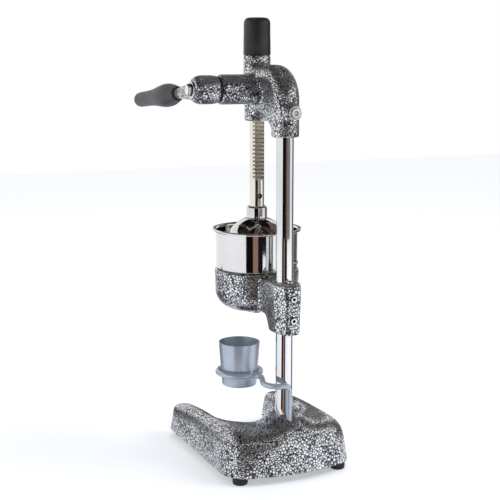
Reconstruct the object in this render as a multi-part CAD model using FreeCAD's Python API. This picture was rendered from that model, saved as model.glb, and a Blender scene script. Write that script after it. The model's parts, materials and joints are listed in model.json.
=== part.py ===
"""Lever citrus press: column stand, rack-driven ram, strainer bowl and swing-out drip cup.

Millimetres, +Z up. Lengths below are measured from the column axis at floor level:
the user stands at -Y, the ram is in front of the column, and the lever is on the +X side.
The finished solids are shifted so that the origin lies on the floor, under the middle
of the whole press.
"""

import FreeCAD
import Part
import math
import os

from FreeCAD import Vector

# Where the column axis stands in the finished frame
COLUMN_X = -10.45
COLUMN_Y = 167.2

# Overall layout
RAM_Y = -106.0
FOOT_HEIGHT = 12.0
AXLE_Z = 609.0
LEVER_X = 106.0
LEVER_DROOP_DEG = 5.0

# Base casting, a U that is open to the front
BASE_HALF_WIDTH = 110.0
BASE_REAR_Y = 52.5
BASE_REAR_CORNER = (84.0, 41.0)
BASE_CORNER_MID = (102.5, 26.0)
BASE_SIDE_START_Y = 0.0
LEG_CENTRE_X = 88.0
LEG_RADIUS = 22.0
LEG_END_Y = -228.0
CROTCH_START_Y = -99.0
CROTCH_Y = -39.0
BASE_DRAFT_TOP_Z = 100.0
BASE_DRAFT_INSET = 12.0
BASE_ROUNDING = ((58.0, 6.3), (70.0, 11.0), (77.0, 19.0), (100.0, 21.0))
BASE_HOLLOW_ROUNDING = ((50.0, 11.5), (62.0, 16.0), (70.0, 21.0), (100.0, 21.5))
BASE_WALL = 5.5
BASE_ROOF = 6.0
BASE_TOP_ARC = ((-262.0, 51.5), (-75.0, 77.5), (75.0, 79.5))
HUMP_FOOT_RADIUS = 50.0
HUMP_TOP_RADIUS = 30.0
HUMP_TOP_Z = 97.0
SOCKET_RADIUS = 21.0
SOCKET_FLOOR_Z = 22.0

# Feet
FOOT_RADIUS = 12.2
FOOT_PLACES = ((86.0, 23.0), (-86.0, 23.0), (88.0, -228.0), (-88.0, -228.0))
STUD_RADIUS = 3.0
STUD_BOTTOM_Z = 4.0
STUD_TOP_Z = 26.0
FOOT_BOSS_RADIUS = 9.0

# Column
COLUMN_RADIUS = 13.5
COLUMN_BORE = 11.2
COLUMN_BOTTOM_Z = 30.0
COLUMN_TOP_Z = 596.0
PLUG_TOP_Z = 52.0
TIE_BOLT_RADIUS = 6.0
HOLE_PLAY = 0.05

# Head casting
SOCKET_BOTTOM_Z = 538.0
SOCKET_OUTER = 21.5
ELBOW_RADIUS = 33.0
ELBOW_Z = 593.0
GUIDE_RADIUS = 21.75
GUIDE_LOWER_RADIUS = 20.0
GUIDE_BOTTOM_Z = 557.5
GUIDE_SHOULDER_Z = 586.0
GUIDE_TOP_Z = 662.0
SPIGOT_RADIUS = 18.5
SPIGOT_TOP_Z = 673.0
BARREL_RADIUS = 23.4
BARREL_END_X = 77.5
WEB_HALF_WIDTH = 12.0
COVER_FLANGE_RADIUS = 30.0
COVER_FACE_X = -24.0
CLAMP_BOSS_Z = 576.0
CLAMP_BOSS_RADIUS = 12.3
CLAMP_BOSS_FACE_Y = 34.6
CLAMP_WASHER_RADIUS = 10.5

# Rack and pinion
MODULE = 2.0
PINION_TEETH = 18
PRESSURE_ANGLE = math.radians(20.0)
BACKLASH = 0.12
ADDENDUM = MODULE
DEDENDUM = 1.25 * MODULE
PITCH_RADIUS = MODULE * PINION_TEETH / 2
TOOTH_PITCH = math.pi * MODULE
RACK_TIP = 10.6
PINION_Y = RAM_Y + RACK_TIP - ADDENDUM + PITCH_RADIUS
PINION_HALF_WIDTH = 11.0
CHAMBER_RADIUS = 20.5
CHAMBER_END_X = 13.0
RAM_RADIUS = 12.0
RAM_TOP_Z = 635.5
RAM_BOTTOM_Z = 399.6
RACK_GAPS = range(-23, 4)
CROSS_HOLE_Z = 436.0
CROSS_HOLE_RADIUS = 4.0
RAM_BORE = 13.0
RAM_BUSH_RADIUS = 15.0
UPPER_BUSH_LENGTH = 42.5
LOWER_BUSH_LENGTH = 26.0
RUNNING_PLAY = 0.06

# Axle, hub and lever
SHAFT_RADIUS = 10.0
SHAFT_START_X = -22.0
SHAFT_SHOULDER_X = 80.3
SHAFT_END_X = 117.0
SHAFT_END_RADIUS = 9.0
BUSH_RADIUS = 14.0
OUTER_BUSH_START_X = 47.5
INNER_BUSH_RADIUS = 13.0
THRUST_RING = (77.8, 80.3, 20.6)
HUB_FACE_X = 122.0
HUB_RADIUS = 22.5
SOCKET_END = 87.0
SOCKET_END_RADIUS = 10.2
ROD_RADIUS = 6.0
ROD_START = 30.0
ROD_END = 285.0
COLLAR_RADIUS = 9.0
GRIP_START = 106.0
GRIP_END = 309.0
GRIP_FLAT_RADIUS = 4.5
WASHER_RADIUS = 13.7
HUB_BOLT_RADIUS = 5.0

# Top cap
CAP_RADIUS = 22.0
CAP_TOP_RADIUS = 21.2
CAP_TOP_Z = 721.0
CAP_SHOULDER = 9.0
CAP_WALL = 3.2

# Bell on the ram
BELL_RADIUS = 54.0
BELL_CENTRE_Z = 348.3
BELL_WALL = 2.5
BELL_BOTTOM_Z = 338.0
BELL_COLLAR_RADIUS = 17.0
BELL_COLLAR_TOP_Z = 419.3

# Bowl, strainer and reamer
BOWL_RADIUS = 67.8
BOWL_WALL = 1.5
BOWL_RIM_RADIUS = 73.6
BOWL_RIM_Z = 381.0
BOWL_BEAD = 2.2
BOWL_STEP_Z = 318.5
SPIGOT_BOWL_RADIUS = 62.0
SPIGOT_BOWL_BOTTOM_Z = 302.0
STRAINER_THICKNESS = 1.6
STRAINER_RINGS = ((40.0, 18), (48.0, 22), (56.0, 26))
STRAINER_HOLE = 2.6
REAMER_RADIUS = 33.0
REAMER_HEIGHT = 50.0
REAMER_RIBS = 8
BOWL_STUD_ANGLE = 134.5
BOWL_STUD_Z = 329.5

# Bowl carrier
CARRIER_RADIUS = 70.0
CARRIER_TOP_Z = 317.0
CARRIER_WAIST = (68.6, 286.0)
CARRIER_BULGE = (62.5, 262.5)
CARRIER_FLOOR = (44.0, 251.0)
CARRIER_SEAT_RADIUS = 62.4
FUNNEL_TOP_RADIUS = 57.0
FUNNEL_FLOOR_Z = 264.0
SPOUT_RADIUS = 15.0
SPOUT_BORE = 13.2
SPOUT_FLANGE = 19.0
SPOUT_BOTTOM_Z = 242.0
CLAMP_HALF_WIDTH = 24.0
CLAMP_BOTTOM_Z = 231.0
CLAMP_TAPER = 4.0
CLAMP_TOP_Z = 311.5
LUG_HALF_WIDTH = 14.0
LUG_FACE_Y = 34.5
CLAMP_SCREW_HEIGHTS = (289.8, 255.4)
LUG_SCREW_Y = 20.5

# Drip cup and its bent-rod holder
HOLDER_X = 1.5
HOLDER_Y = 22.0
HOLDER_ROD = 4.6
HOLDER_FOOT_Z = 64.0
HOLDER_Z = 149.0
HOLDER_BEND = 8.0
RING_RADIUS = 35.0
HOLDER_STEPS = (
    ("line", 2.5),
    ("turn", 22.0, -110.0),
    ("line", 27.5),
    ("turn", 13.5, 115.0),
    ("turn", RING_RADIUS, -330.0),
)
CUP_TOP_Z = 199.3
CUP_BOTTOM_Z = 127.3
CUP_TOP_RADIUS = 33.9
CUP_BOTTOM_RADIUS = 28.4
CUP_WALL = 1.6

X_AXIS = Vector(1, 0, 0)
Y_AXIS = Vector(0, 1, 0)
Z_AXIS = Vector(0, 0, 1)
HEX_CORNER = 2 / math.sqrt(3)


def cylinder(radius, start, end):
    """Solid cylinder from one point to another."""
    run = end - start
    return Part.makeCylinder(radius, run.Length, start, run)


def upright(radius, low, high, x=0.0, y=0.0):
    """Cylinder standing at x, y between two heights."""
    return cylinder(radius, Vector(x, y, low), Vector(x, y, high))


def along_x(radius, start, end):
    """Cylinder on the axle line between two X positions."""
    return cylinder(radius, Vector(start, PINION_Y, AXLE_Z), Vector(end, PINION_Y, AXLE_Z))


def along_y(radius, start, end, z, x=0.0):
    """Cylinder pointing along Y at a height."""
    return cylinder(radius, Vector(x, start, z), Vector(x, end, z))


def polygon(points):
    """Closed wire of straight edges."""
    return Part.makePolygon(list(points) + [points[0]])


def prism(points, run):
    """Polygon swept along a vector."""
    return Part.Face(polygon(points)).extrude(run)


def turned(edges, axis_point, axis):
    """Solid of revolution of a closed outline."""
    return Part.Face(Part.Wire(edges)).revolve(axis_point, axis, 360)


def joined(outline):
    """Straight edges through (radius, height) points, as a closed list."""
    count = len(outline)
    return [Part.makeLine(outline[i], outline[(i + 1) % count]) for i in range(count)]


def turned_upright(profile, x=0.0, y=0.0):
    """Revolve (radius, height) points about a vertical axis."""
    points = [Vector(x + radius, y, height) for radius, height in profile]
    return turned(joined(points), Vector(x, y, 0), Z_AXIS)


def turned_on_axle(profile):
    """Revolve (x, radius) points about the axle line."""
    points = [Vector(x, PINION_Y, AXLE_Z + radius) for x, radius in profile]
    return turned(joined(points), Vector(0, PINION_Y, AXLE_Z), X_AXIS)


def hexagon(across_flats, centre, axis, height):
    """Hexagonal prism that starts at centre and runs along axis."""
    corner = across_flats / 2 * HEX_CORNER
    placement = FreeCAD.Placement(centre, FreeCAD.Rotation(Z_AXIS, axis))
    points = []
    for index in range(6):
        angle = math.radians(60 * index)
        local = Vector(corner * math.cos(angle), corner * math.sin(angle), 0)
        points.append(placement.multVec(local))
    return prism(points, axis * height)


def cap_screw(face, axis, head_radius, head_height, shank_radius, shank_length, key):
    """Socket-head screw: face is where the head sits, axis points out of the work."""
    head = cylinder(head_radius, face, face + axis * head_height)
    shank = cylinder(shank_radius, face - axis * shank_length, face)
    socket_start = face + axis * (head_height * 0.4)
    socket = hexagon(key, socket_start, axis, head_height)
    return head.fuse(shank).cut(socket)


def bottom_and_top_wires(inset_bottom, bottom_z, inset_top, top_z):
    """The base outline at two heights, for a drafted wall."""
    return [base_outline(inset_bottom, bottom_z), base_outline(inset_top, top_z)]


def base_outline(inset, z):
    """U-shaped plan of the base, shrunk into the material by inset."""

    def at(x, y):
        return Vector(x, y, z)

    side = BASE_HALF_WIDTH - inset
    inner = LEG_CENTRE_X - LEG_RADIUS + inset
    corner_x = BASE_REAR_CORNER[0] - inset * 0.6
    corner_y = BASE_REAR_CORNER[1] - inset
    mid_x = BASE_CORNER_MID[0] - inset * 0.85
    mid_y = BASE_CORNER_MID[1] - inset * 0.85
    tip_y = LEG_END_Y - LEG_RADIUS + inset
    right = [
        Part.Arc(at(corner_x, corner_y), at(mid_x, mid_y), at(side, BASE_SIDE_START_Y)),
        Part.LineSegment(at(side, BASE_SIDE_START_Y), at(side, LEG_END_Y)),
        Part.Arc(at(side, LEG_END_Y), at(LEG_CENTRE_X, tip_y), at(inner, LEG_END_Y)),
        Part.LineSegment(at(inner, LEG_END_Y), at(inner, CROTCH_START_Y)),
    ]
    crotch = Part.Arc(
        at(inner, CROTCH_START_Y), at(0, CROTCH_Y + inset), at(-inner, CROTCH_START_Y)
    )
    left = [
        Part.LineSegment(at(-inner, CROTCH_START_Y), at(-inner, LEG_END_Y)),
        Part.Arc(at(-inner, LEG_END_Y), at(-LEG_CENTRE_X, tip_y), at(-side, LEG_END_Y)),
        Part.LineSegment(at(-side, LEG_END_Y), at(-side, BASE_SIDE_START_Y)),
        Part.Arc(at(-side, BASE_SIDE_START_Y), at(-mid_x, mid_y), at(-corner_x, corner_y)),
    ]
    rear = Part.Arc(
        at(-corner_x, corner_y), at(0, BASE_REAR_Y - inset), at(corner_x, corner_y)
    )
    curves = right + [crotch] + left + [rear]
    return Part.Wire([curve.toShape() for curve in curves])


def under_top_arc(drop):
    """Block below the arched top line of the base, lowered by drop."""
    start, middle, end = [Vector(-150, y, z - drop) for y, z in BASE_TOP_ARC]
    low_end = Vector(-150, end.y, -5)
    low_start = Vector(-150, start.y, -5)
    edges = [
        Part.Arc(start, middle, end).toShape(),
        Part.makeLine(end, low_end),
        Part.makeLine(low_end, low_start),
        Part.makeLine(low_start, start),
    ]
    return Part.Face(Part.Wire(edges)).extrude(Vector(300, 0, 0))


def drafted_base(wall, low_z):
    """Tapering block on the base outline, inset by a wall thickness."""
    wires = bottom_and_top_wires(
        wall, low_z, wall + BASE_DRAFT_INSET, BASE_DRAFT_TOP_Z
    )
    return Part.makeLoft(wires, True, True)


def rounded_base(wall, low_z, rounding):
    """Block on the base outline that draws in further towards its top edge."""
    wires = [base_outline(wall, low_z)]
    for z, inset in rounding:
        wires.append(base_outline(inset, z))
    return Part.makeLoft(wires, True, True)


def base_casting():
    """Hollow cast base with column socket, foot bosses and holder socket."""
    envelope = rounded_base(0.0, FOOT_HEIGHT, BASE_ROUNDING)
    body = envelope.common(under_top_arc(0.0))
    hump = turned_upright(
        (
            (0.0, 66.0),
            (HUMP_FOOT_RADIUS, 66.0),
            (HUMP_FOOT_RADIUS, 74.0),
            (HUMP_FOOT_RADIUS - 8, 80.0),
            (HUMP_TOP_RADIUS + 4, 88.0),
            (HUMP_TOP_RADIUS, HUMP_TOP_Z - 3),
            (HUMP_TOP_RADIUS - 3, HUMP_TOP_Z),
            (0.0, HUMP_TOP_Z),
        )
    )
    hollow = rounded_base(BASE_WALL, FOOT_HEIGHT - 1, BASE_HOLLOW_ROUNDING)
    hollow = hollow.common(under_top_arc(BASE_ROOF))
    body = body.cut(hollow).fuse(hump.common(drafted_base(0.0, FOOT_HEIGHT)))
    inner = upright(SOCKET_RADIUS, SOCKET_FLOOR_Z, 80.0)
    inner = inner.fuse(upright(HOLDER_ROD + 4.5, HOLDER_FOOT_Z - 6, 80.0, HOLDER_X, HOLDER_Y))
    for x, y in FOOT_PLACES:
        boss = upright(FOOT_BOSS_RADIUS, FOOT_HEIGHT, 68.0, x, y)
        inner = inner.fuse(boss.common(envelope.common(under_top_arc(3.0))))
    body = body.fuse(inner)
    body = body.cut(upright(COLUMN_RADIUS + HOLE_PLAY, COLUMN_BOTTOM_Z, 110.0))
    body = body.cut(upright(TIE_BOLT_RADIUS + 0.4, SOCKET_FLOOR_Z - 1, COLUMN_BOTTOM_Z + 1))
    socket = upright(HOLDER_ROD + HOLE_PLAY, HOLDER_FOOT_Z - 0.3, 110.0, HOLDER_X, HOLDER_Y)
    body = body.cut(socket)
    for x, y in FOOT_PLACES:
        body = body.cut(upright(STUD_RADIUS + HOLE_PLAY, FOOT_HEIGHT - 1, STUD_TOP_Z + 1, x, y))
    return body.removeSplitter()


def rubber_feet():
    """Four rubber feet, slightly tapered."""
    feet = []
    for x, y in FOOT_PLACES:
        foot = Part.makeCone(FOOT_RADIUS - 0.9, FOOT_RADIUS, 1.5, Vector(x, y, 0))
        foot = foot.fuse(upright(FOOT_RADIUS, 1.5, FOOT_HEIGHT, x, y))
        foot = foot.cut(upright(STUD_RADIUS, STUD_BOTTOM_Z, FOOT_HEIGHT + 1, x, y))
        feet.append(foot.removeSplitter())
    return Part.makeCompound(feet)


def foot_studs():
    """Threaded studs moulded into the feet and screwed into the base."""
    studs = []
    for x, y in FOOT_PLACES:
        studs.append(upright(STUD_RADIUS, STUD_BOTTOM_Z, STUD_TOP_Z, x, y))
    return Part.makeCompound(studs)


def column_tube():
    """Chromed tube from the base socket to the head."""
    tube = upright(COLUMN_RADIUS, COLUMN_BOTTOM_Z, COLUMN_TOP_Z)
    return tube.cut(upright(COLUMN_BORE, COLUMN_BOTTOM_Z - 1, COLUMN_TOP_Z + 1))


def column_plug():
    """Threaded plug fixed in the foot of the column."""
    plug = upright(COLUMN_BORE, COLUMN_BOTTOM_Z, PLUG_TOP_Z)
    return plug.cut(upright(TIE_BOLT_RADIUS, COLUMN_BOTTOM_Z - 1, PLUG_TOP_Z + 1))


def column_washer():
    """Washer under the socket floor."""
    washer = upright(12.0, SOCKET_FLOOR_Z - 2, SOCKET_FLOOR_Z)
    return washer.cut(upright(TIE_BOLT_RADIUS + 0.3, SOCKET_FLOOR_Z - 3, SOCKET_FLOOR_Z + 1))


def column_bolt():
    """Hexagon bolt that draws the column into its socket."""
    top = SOCKET_FLOOR_Z - 2
    head = hexagon(19.0, Vector(0, 0, top - 7.2), Z_AXIS, 7.2)
    return head.fuse(upright(TIE_BOLT_RADIUS, top - 1, PLUG_TOP_Z - 2)).removeSplitter()


def elbow():
    """Quarter bend from the level arm down into the column socket."""
    bend = Part.makeTorus(
        ELBOW_RADIUS, SOCKET_OUTER, Vector(0, -ELBOW_RADIUS, ELBOW_Z), X_AXIS, -180, 180, 360
    )
    quarter = Part.makeBox(
        100, 100, 100, Vector(-50, -ELBOW_RADIUS, ELBOW_Z)
    )
    return bend.common(quarter)


def head_web():
    """Web that fills the corner between ram guide and column socket."""
    top = AXLE_Z + 6
    points = (
        (RAM_Y + 4, 578.0),
        (RAM_Y + 24, 575.0),
        (-56.0, 569.0),
        (-38.0, 559.0),
        (-20.0, 545.0),
        (-6.0, 545.0),
        (-6.0, top),
        (RAM_Y + 4, top),
    )
    outline = [Vector(-WEB_HALF_WIDTH, y, z) for y, z in points]
    return prism(outline, X_AXIS * (2 * WEB_HALF_WIDTH))


def head_outside():
    """Outer form of the head casting."""
    arm_z = ELBOW_Z + ELBOW_RADIUS
    body = upright(GUIDE_RADIUS, GUIDE_SHOULDER_Z, GUIDE_TOP_Z, 0, RAM_Y)
    pieces = [
        upright(GUIDE_LOWER_RADIUS, GUIDE_BOTTOM_Z, GUIDE_SHOULDER_Z, 0, RAM_Y),
        upright(SPIGOT_RADIUS, GUIDE_TOP_Z, SPIGOT_TOP_Z, 0, RAM_Y),
        along_x(BARREL_RADIUS, COVER_FACE_X, BARREL_END_X),
        along_x(COVER_FLANGE_RADIUS, COVER_FACE_X, COVER_FACE_X + 8),
        upright(SOCKET_OUTER, SOCKET_BOTTOM_Z, ELBOW_Z),
        along_y(SOCKET_OUTER, RAM_Y, -ELBOW_RADIUS, arm_z),
        elbow(),
        head_web(),
        along_y(CLAMP_BOSS_RADIUS, 0, CLAMP_BOSS_FACE_Y, CLAMP_BOSS_Z),
    ]
    return body.multiFuse(pieces)


def head_casting():
    """Cast head: ram guide, axle barrel, arm and column socket."""
    cuts = [
        upright(RAM_BORE, GUIDE_BOTTOM_Z - 1, SPIGOT_TOP_Z + 1, 0, RAM_Y),
        upright(RAM_BUSH_RADIUS, GUIDE_BOTTOM_Z - 1, GUIDE_BOTTOM_Z + LOWER_BUSH_LENGTH, 0, RAM_Y),
        upright(RAM_BUSH_RADIUS, SPIGOT_TOP_Z - UPPER_BUSH_LENGTH, SPIGOT_TOP_Z + 1, 0, RAM_Y),
        along_x(CHAMBER_RADIUS, COVER_FACE_X - 1, CHAMBER_END_X),
        along_x(SHAFT_RADIUS + 1, CHAMBER_END_X - 1, BARREL_END_X + 1),
        along_x(BUSH_RADIUS, OUTER_BUSH_START_X, BARREL_END_X + 1),
        upright(COLUMN_RADIUS + HOLE_PLAY, SOCKET_BOTTOM_Z - 1, COLUMN_TOP_Z + 0.5),
        along_y(5.05, 0, CLAMP_BOSS_FACE_Y + 1, CLAMP_BOSS_Z),
    ]
    for angle in (90, 210, 330):
        cuts.append(cover_screw_shank(angle, 2.05, 12.0))
    return head_outside().cut(Part.makeCompound(cuts)).removeSplitter()


def on_cover(angle, radius):
    """Y and Z of a point on a circle round the axle line."""
    turn = math.radians(angle)
    return PINION_Y + radius * math.cos(turn), AXLE_Z + radius * math.sin(turn)


def cover_screw_shank(angle, radius, length):
    """Screw shank into the cover flange."""
    y, z = on_cover(angle, 25.5)
    start = Vector(COVER_FACE_X - 5, y, z)
    return cylinder(radius, start, start + X_AXIS * length)


def pinion_cover():
    """Round cover of the gear chamber, with the seat of the inner bush."""
    plate = along_x(COVER_FLANGE_RADIUS, COVER_FACE_X - 5, COVER_FACE_X)
    spigot = along_x(CHAMBER_RADIUS - HOLE_PLAY, COVER_FACE_X, -13.5)
    cover = plate.fuse(spigot).cut(along_x(INNER_BUSH_RADIUS, COVER_FACE_X, -13))
    for angle in (90, 210, 330):
        cover = cover.cut(cover_screw_shank(angle, 2.2, 6.0))
    return cover.removeSplitter()


def cover_screws():
    """Three button-head screws of the chamber cover."""
    screws = []
    for angle in (90, 210, 330):
        y, z = on_cover(angle, 25.5)
        face = Vector(COVER_FACE_X - 5, y, z)
        screws.append(cap_screw(face, -X_AXIS, 3.8, 2.4, 2.0, 11.0, 2.5))
    return Part.makeCompound(screws)


def inner_bush():
    """Bronze bush in the chamber cover."""
    bush = along_x(INNER_BUSH_RADIUS, COVER_FACE_X + 0.5, -13.5)
    return bush.cut(along_x(SHAFT_RADIUS + RUNNING_PLAY, COVER_FACE_X, -13))


def outer_bush():
    """Bronze bush in the open end of the barrel."""
    bush = along_x(BUSH_RADIUS, OUTER_BUSH_START_X, BARREL_END_X)
    return bush.cut(along_x(SHAFT_RADIUS + RUNNING_PLAY, OUTER_BUSH_START_X - 1, BARREL_END_X + 1))


def ram_bush(low, high):
    """Bush that guides the ram."""
    bush = upright(RAM_BUSH_RADIUS, low, high, 0, RAM_Y)
    return bush.cut(upright(RAM_RADIUS + RUNNING_PLAY, low - 1, high + 1, 0, RAM_Y))


def head_clamp_washer():
    """Bright spot-face washer on the rear boss of the head."""
    washer = along_y(CLAMP_WASHER_RADIUS, CLAMP_BOSS_FACE_Y, CLAMP_BOSS_FACE_Y + 1.6, CLAMP_BOSS_Z)
    return washer.cut(along_y(5.4, CLAMP_BOSS_FACE_Y - 1, CLAMP_BOSS_FACE_Y + 3, CLAMP_BOSS_Z))


def head_clamp_screw():
    """Socket-head screw that bears on the column inside the head."""
    face = Vector(0, CLAMP_BOSS_FACE_Y + 1.6, CLAMP_BOSS_Z)
    length = face.y - COLUMN_RADIUS
    return cap_screw(face, Y_AXIS, 7.5, 2.4, 5.0, length, 7.0)


def top_cap():
    """Hollow plastic cap over the top of the ram."""
    low = GUIDE_TOP_Z
    high = CAP_TOP_Z
    shoulder = CAP_SHOULDER

    def at(radius, height):
        return Vector(radius, RAM_Y, height)

    bend = shoulder * (1 - math.sqrt(0.5))
    outer = [
        Part.makeLine(at(SPIGOT_RADIUS + 0.1, low), at(CAP_RADIUS - 0.6, low)),
        Part.makeLine(at(CAP_RADIUS - 0.6, low), at(CAP_RADIUS, low + 0.8)),
        Part.makeLine(at(CAP_RADIUS, low + 0.8), at(CAP_TOP_RADIUS, high - shoulder)),
        Part.Arc(
            at(CAP_TOP_RADIUS, high - shoulder),
            at(CAP_TOP_RADIUS - bend, high - bend),
            at(CAP_TOP_RADIUS - shoulder, high),
        ).toShape(),
        Part.makeLine(at(CAP_TOP_RADIUS - shoulder, high), at(0, high)),
        Part.makeLine(at(0, high), at(0, high - CAP_WALL)),
        Part.makeLine(at(0, high - CAP_WALL), at(14.0, high - CAP_WALL)),
        Part.makeLine(at(14.0, high - CAP_WALL), at(SPIGOT_RADIUS + 0.1, high - 8)),
        Part.makeLine(at(SPIGOT_RADIUS + 0.1, high - 8), at(SPIGOT_RADIUS + 0.1, low)),
    ]
    return turned(outer, Vector(0, RAM_Y, 0), Z_AXIS)


def involute(angle):
    """Involute function."""
    return math.tan(angle) - angle


def gear_face():
    """Involute outline of the pinion, centred on the axle line, at X = 0."""
    base_radius = PITCH_RADIUS * math.cos(PRESSURE_ANGLE)
    tip_radius = PITCH_RADIUS + ADDENDUM
    root_radius = PITCH_RADIUS - DEDENDUM
    half_pitch = (math.pi * MODULE / 2 - BACKLASH) / (2 * PITCH_RADIUS)
    half_base = half_pitch + involute(PRESSURE_ANGLE)

    def at(radius, angle):
        return Vector(
            0, PINION_Y + radius * math.cos(angle), AXLE_Z + radius * math.sin(angle)
        )

    def half_angle(radius):
        return half_base - involute(math.acos(base_radius / radius))

    steps = 6
    radii = [base_radius + (tip_radius - base_radius) * i / steps for i in range(steps + 1)]
    radii[0] = base_radius + 0.001
    step_angle = 2 * math.pi / PINION_TEETH
    edges = []
    for tooth in range(PINION_TEETH):
        middle = math.pi + step_angle * (tooth + 0.5)
        rising = [at(r, middle - half_angle(r)) for r in radii]
        falling = [at(r, middle + half_angle(r)) for r in reversed(radii)]
        start = at(root_radius, middle - half_angle(radii[0]))
        finish = at(root_radius, middle + half_angle(radii[0]))
        next_start = at(root_radius, middle + step_angle - half_angle(radii[0]))
        flank_up = Part.BSplineCurve()
        flank_up.interpolate(rising)
        flank_down = Part.BSplineCurve()
        flank_down.interpolate(falling)
        edges.append(Part.makeLine(start, rising[0]))
        edges.append(flank_up.toShape())
        edges.append(Part.Arc(rising[-1], at(tip_radius, middle), falling[0]).toShape())
        edges.append(flank_down.toShape())
        edges.append(Part.makeLine(falling[-1], finish))
        gap_middle = at(root_radius, middle + step_angle / 2)
        edges.append(Part.Arc(finish, gap_middle, next_start).toShape())
    return Part.Face(Part.Wire(Part.__sortEdges__(edges)))


def key_block(start, end, radius, play):
    """Parallel key lying on the shaft, half in the shaft and half in what it drives."""
    half = 2.5 + play
    low = radius - 2.5 - play
    high = radius + 2.5 + play
    corner = Vector(start - play, PINION_Y - half, AXLE_Z + low)
    return Part.makeBox(end - start + 2 * play, 2 * half, high - low, corner)


GEAR_KEY = (-9.0, 9.0)
HUB_KEY = (90.0, 110.0)


def pinion_gear():
    """Pinion that drives the rack."""
    gear = gear_face().extrude(X_AXIS * (2 * PINION_HALF_WIDTH))
    gear.translate(Vector(-PINION_HALF_WIDTH, 0, 0))
    gear = gear.cut(along_x(SHAFT_RADIUS, -20, 20))
    return gear.cut(key_block(GEAR_KEY[0], GEAR_KEY[1], SHAFT_RADIUS, 0.0))


def pinion_shaft():
    """Axle with keyways and a tapped end."""
    shaft = along_x(SHAFT_RADIUS, SHAFT_START_X, SHAFT_SHOULDER_X)
    shaft = shaft.fuse(along_x(SHAFT_END_RADIUS, SHAFT_SHOULDER_X, SHAFT_END_X))
    shaft = shaft.cut(key_block(GEAR_KEY[0], GEAR_KEY[1], SHAFT_RADIUS, 0.0))
    shaft = shaft.cut(key_block(HUB_KEY[0], HUB_KEY[1], SHAFT_END_RADIUS, 0.0))
    shaft = shaft.cut(along_x(HUB_BOLT_RADIUS, SHAFT_END_X - 22, SHAFT_END_X + 1))
    return shaft.removeSplitter()


def thrust_ring():
    """Dark plastic ring between barrel and lever hub."""
    start, end, radius = THRUST_RING
    return along_x(radius, start, end).cut(along_x(SHAFT_RADIUS, start - 1, end + 1))


def lever_frame(distance, side=0.0, rise=0.0):
    """Point at a distance along the lever from the axle."""
    droop = math.radians(LEVER_DROOP_DEG)
    y = PINION_Y - distance * math.cos(droop) + rise * math.sin(droop) * -1
    z = AXLE_Z - distance * math.sin(droop) + rise * math.cos(droop)
    return Vector(LEVER_X + side, y, z)


def lever_direction():
    """Unit vector along the lever, away from the axle."""
    return (lever_frame(1.0) - lever_frame(0.0)).normalize()


def along_lever(radius, start, end):
    """Cylinder on the lever line."""
    return cylinder(radius, lever_frame(start), lever_frame(end))


def turned_on_lever(edges):
    """Solid of revolution about the lever line."""
    return turned(edges, lever_frame(0.0), lever_direction())


def lever_hub():
    """Cast hub that joins the axle to the lever rod."""
    drum = turned_on_axle(
        (
            (THRUST_RING[1], 0.0),
            (THRUST_RING[1], 20.6),
            (THRUST_RING[1] + 1.0, 21.6),
            (87.2, 21.6),
            (88.0, 20.9),
            (89.0, HUB_RADIUS),
            (112.0, HUB_RADIUS),
            (119.0, 19.5),
            (HUB_FACE_X, 15.5),
            (HUB_FACE_X, 0.0),
        )
    )
    cone = Part.makeCone(
        16.6, SOCKET_END_RADIUS, SOCKET_END, lever_frame(0.0), lever_direction()
    )
    hub = drum.fuse(cone)
    hub = hub.cut(along_x(WASHER_RADIUS + 0.5, HUB_FACE_X, HUB_FACE_X + 5))
    hub = hub.cut(along_x(SHAFT_END_RADIUS, THRUST_RING[1] - 1, SHAFT_END_X + 0.5))
    hub = hub.cut(along_x(HUB_BOLT_RADIUS + 0.3, SHAFT_END_X, HUB_FACE_X + 1))
    hub = hub.cut(key_block(HUB_KEY[0], HUB_KEY[1], SHAFT_END_RADIUS, 0.0))
    return hub.cut(along_lever(ROD_RADIUS, ROD_START, SOCKET_END + 1)).removeSplitter()


def hub_washer():
    """Washer on the outer face of the hub."""
    washer = along_x(WASHER_RADIUS, HUB_FACE_X, HUB_FACE_X + 2.5)
    return washer.cut(along_x(HUB_BOLT_RADIUS + 0.2, HUB_FACE_X - 1, HUB_FACE_X + 4))


def hub_bolt():
    """Hexagon bolt into the end of the axle."""
    face = HUB_FACE_X + 2.5
    head = hexagon(17.0, Vector(face, PINION_Y, AXLE_Z), X_AXIS, 6.4)
    rim = along_x(9.4, face, face + 6.4)
    head = head.common(rim)
    return head.fuse(along_x(HUB_BOLT_RADIUS, SHAFT_END_X - 20, face)).removeSplitter()


def lever_rod():
    """Steel rod from the hub into the grip."""
    return along_lever(ROD_RADIUS, ROD_START, ROD_END)


def rod_collar():
    """Black collar between hub socket and grip."""
    collar = along_lever(COLLAR_RADIUS, SOCKET_END, GRIP_START)
    return collar.cut(along_lever(ROD_RADIUS, SOCKET_END - 1, GRIP_START + 1))


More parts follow.
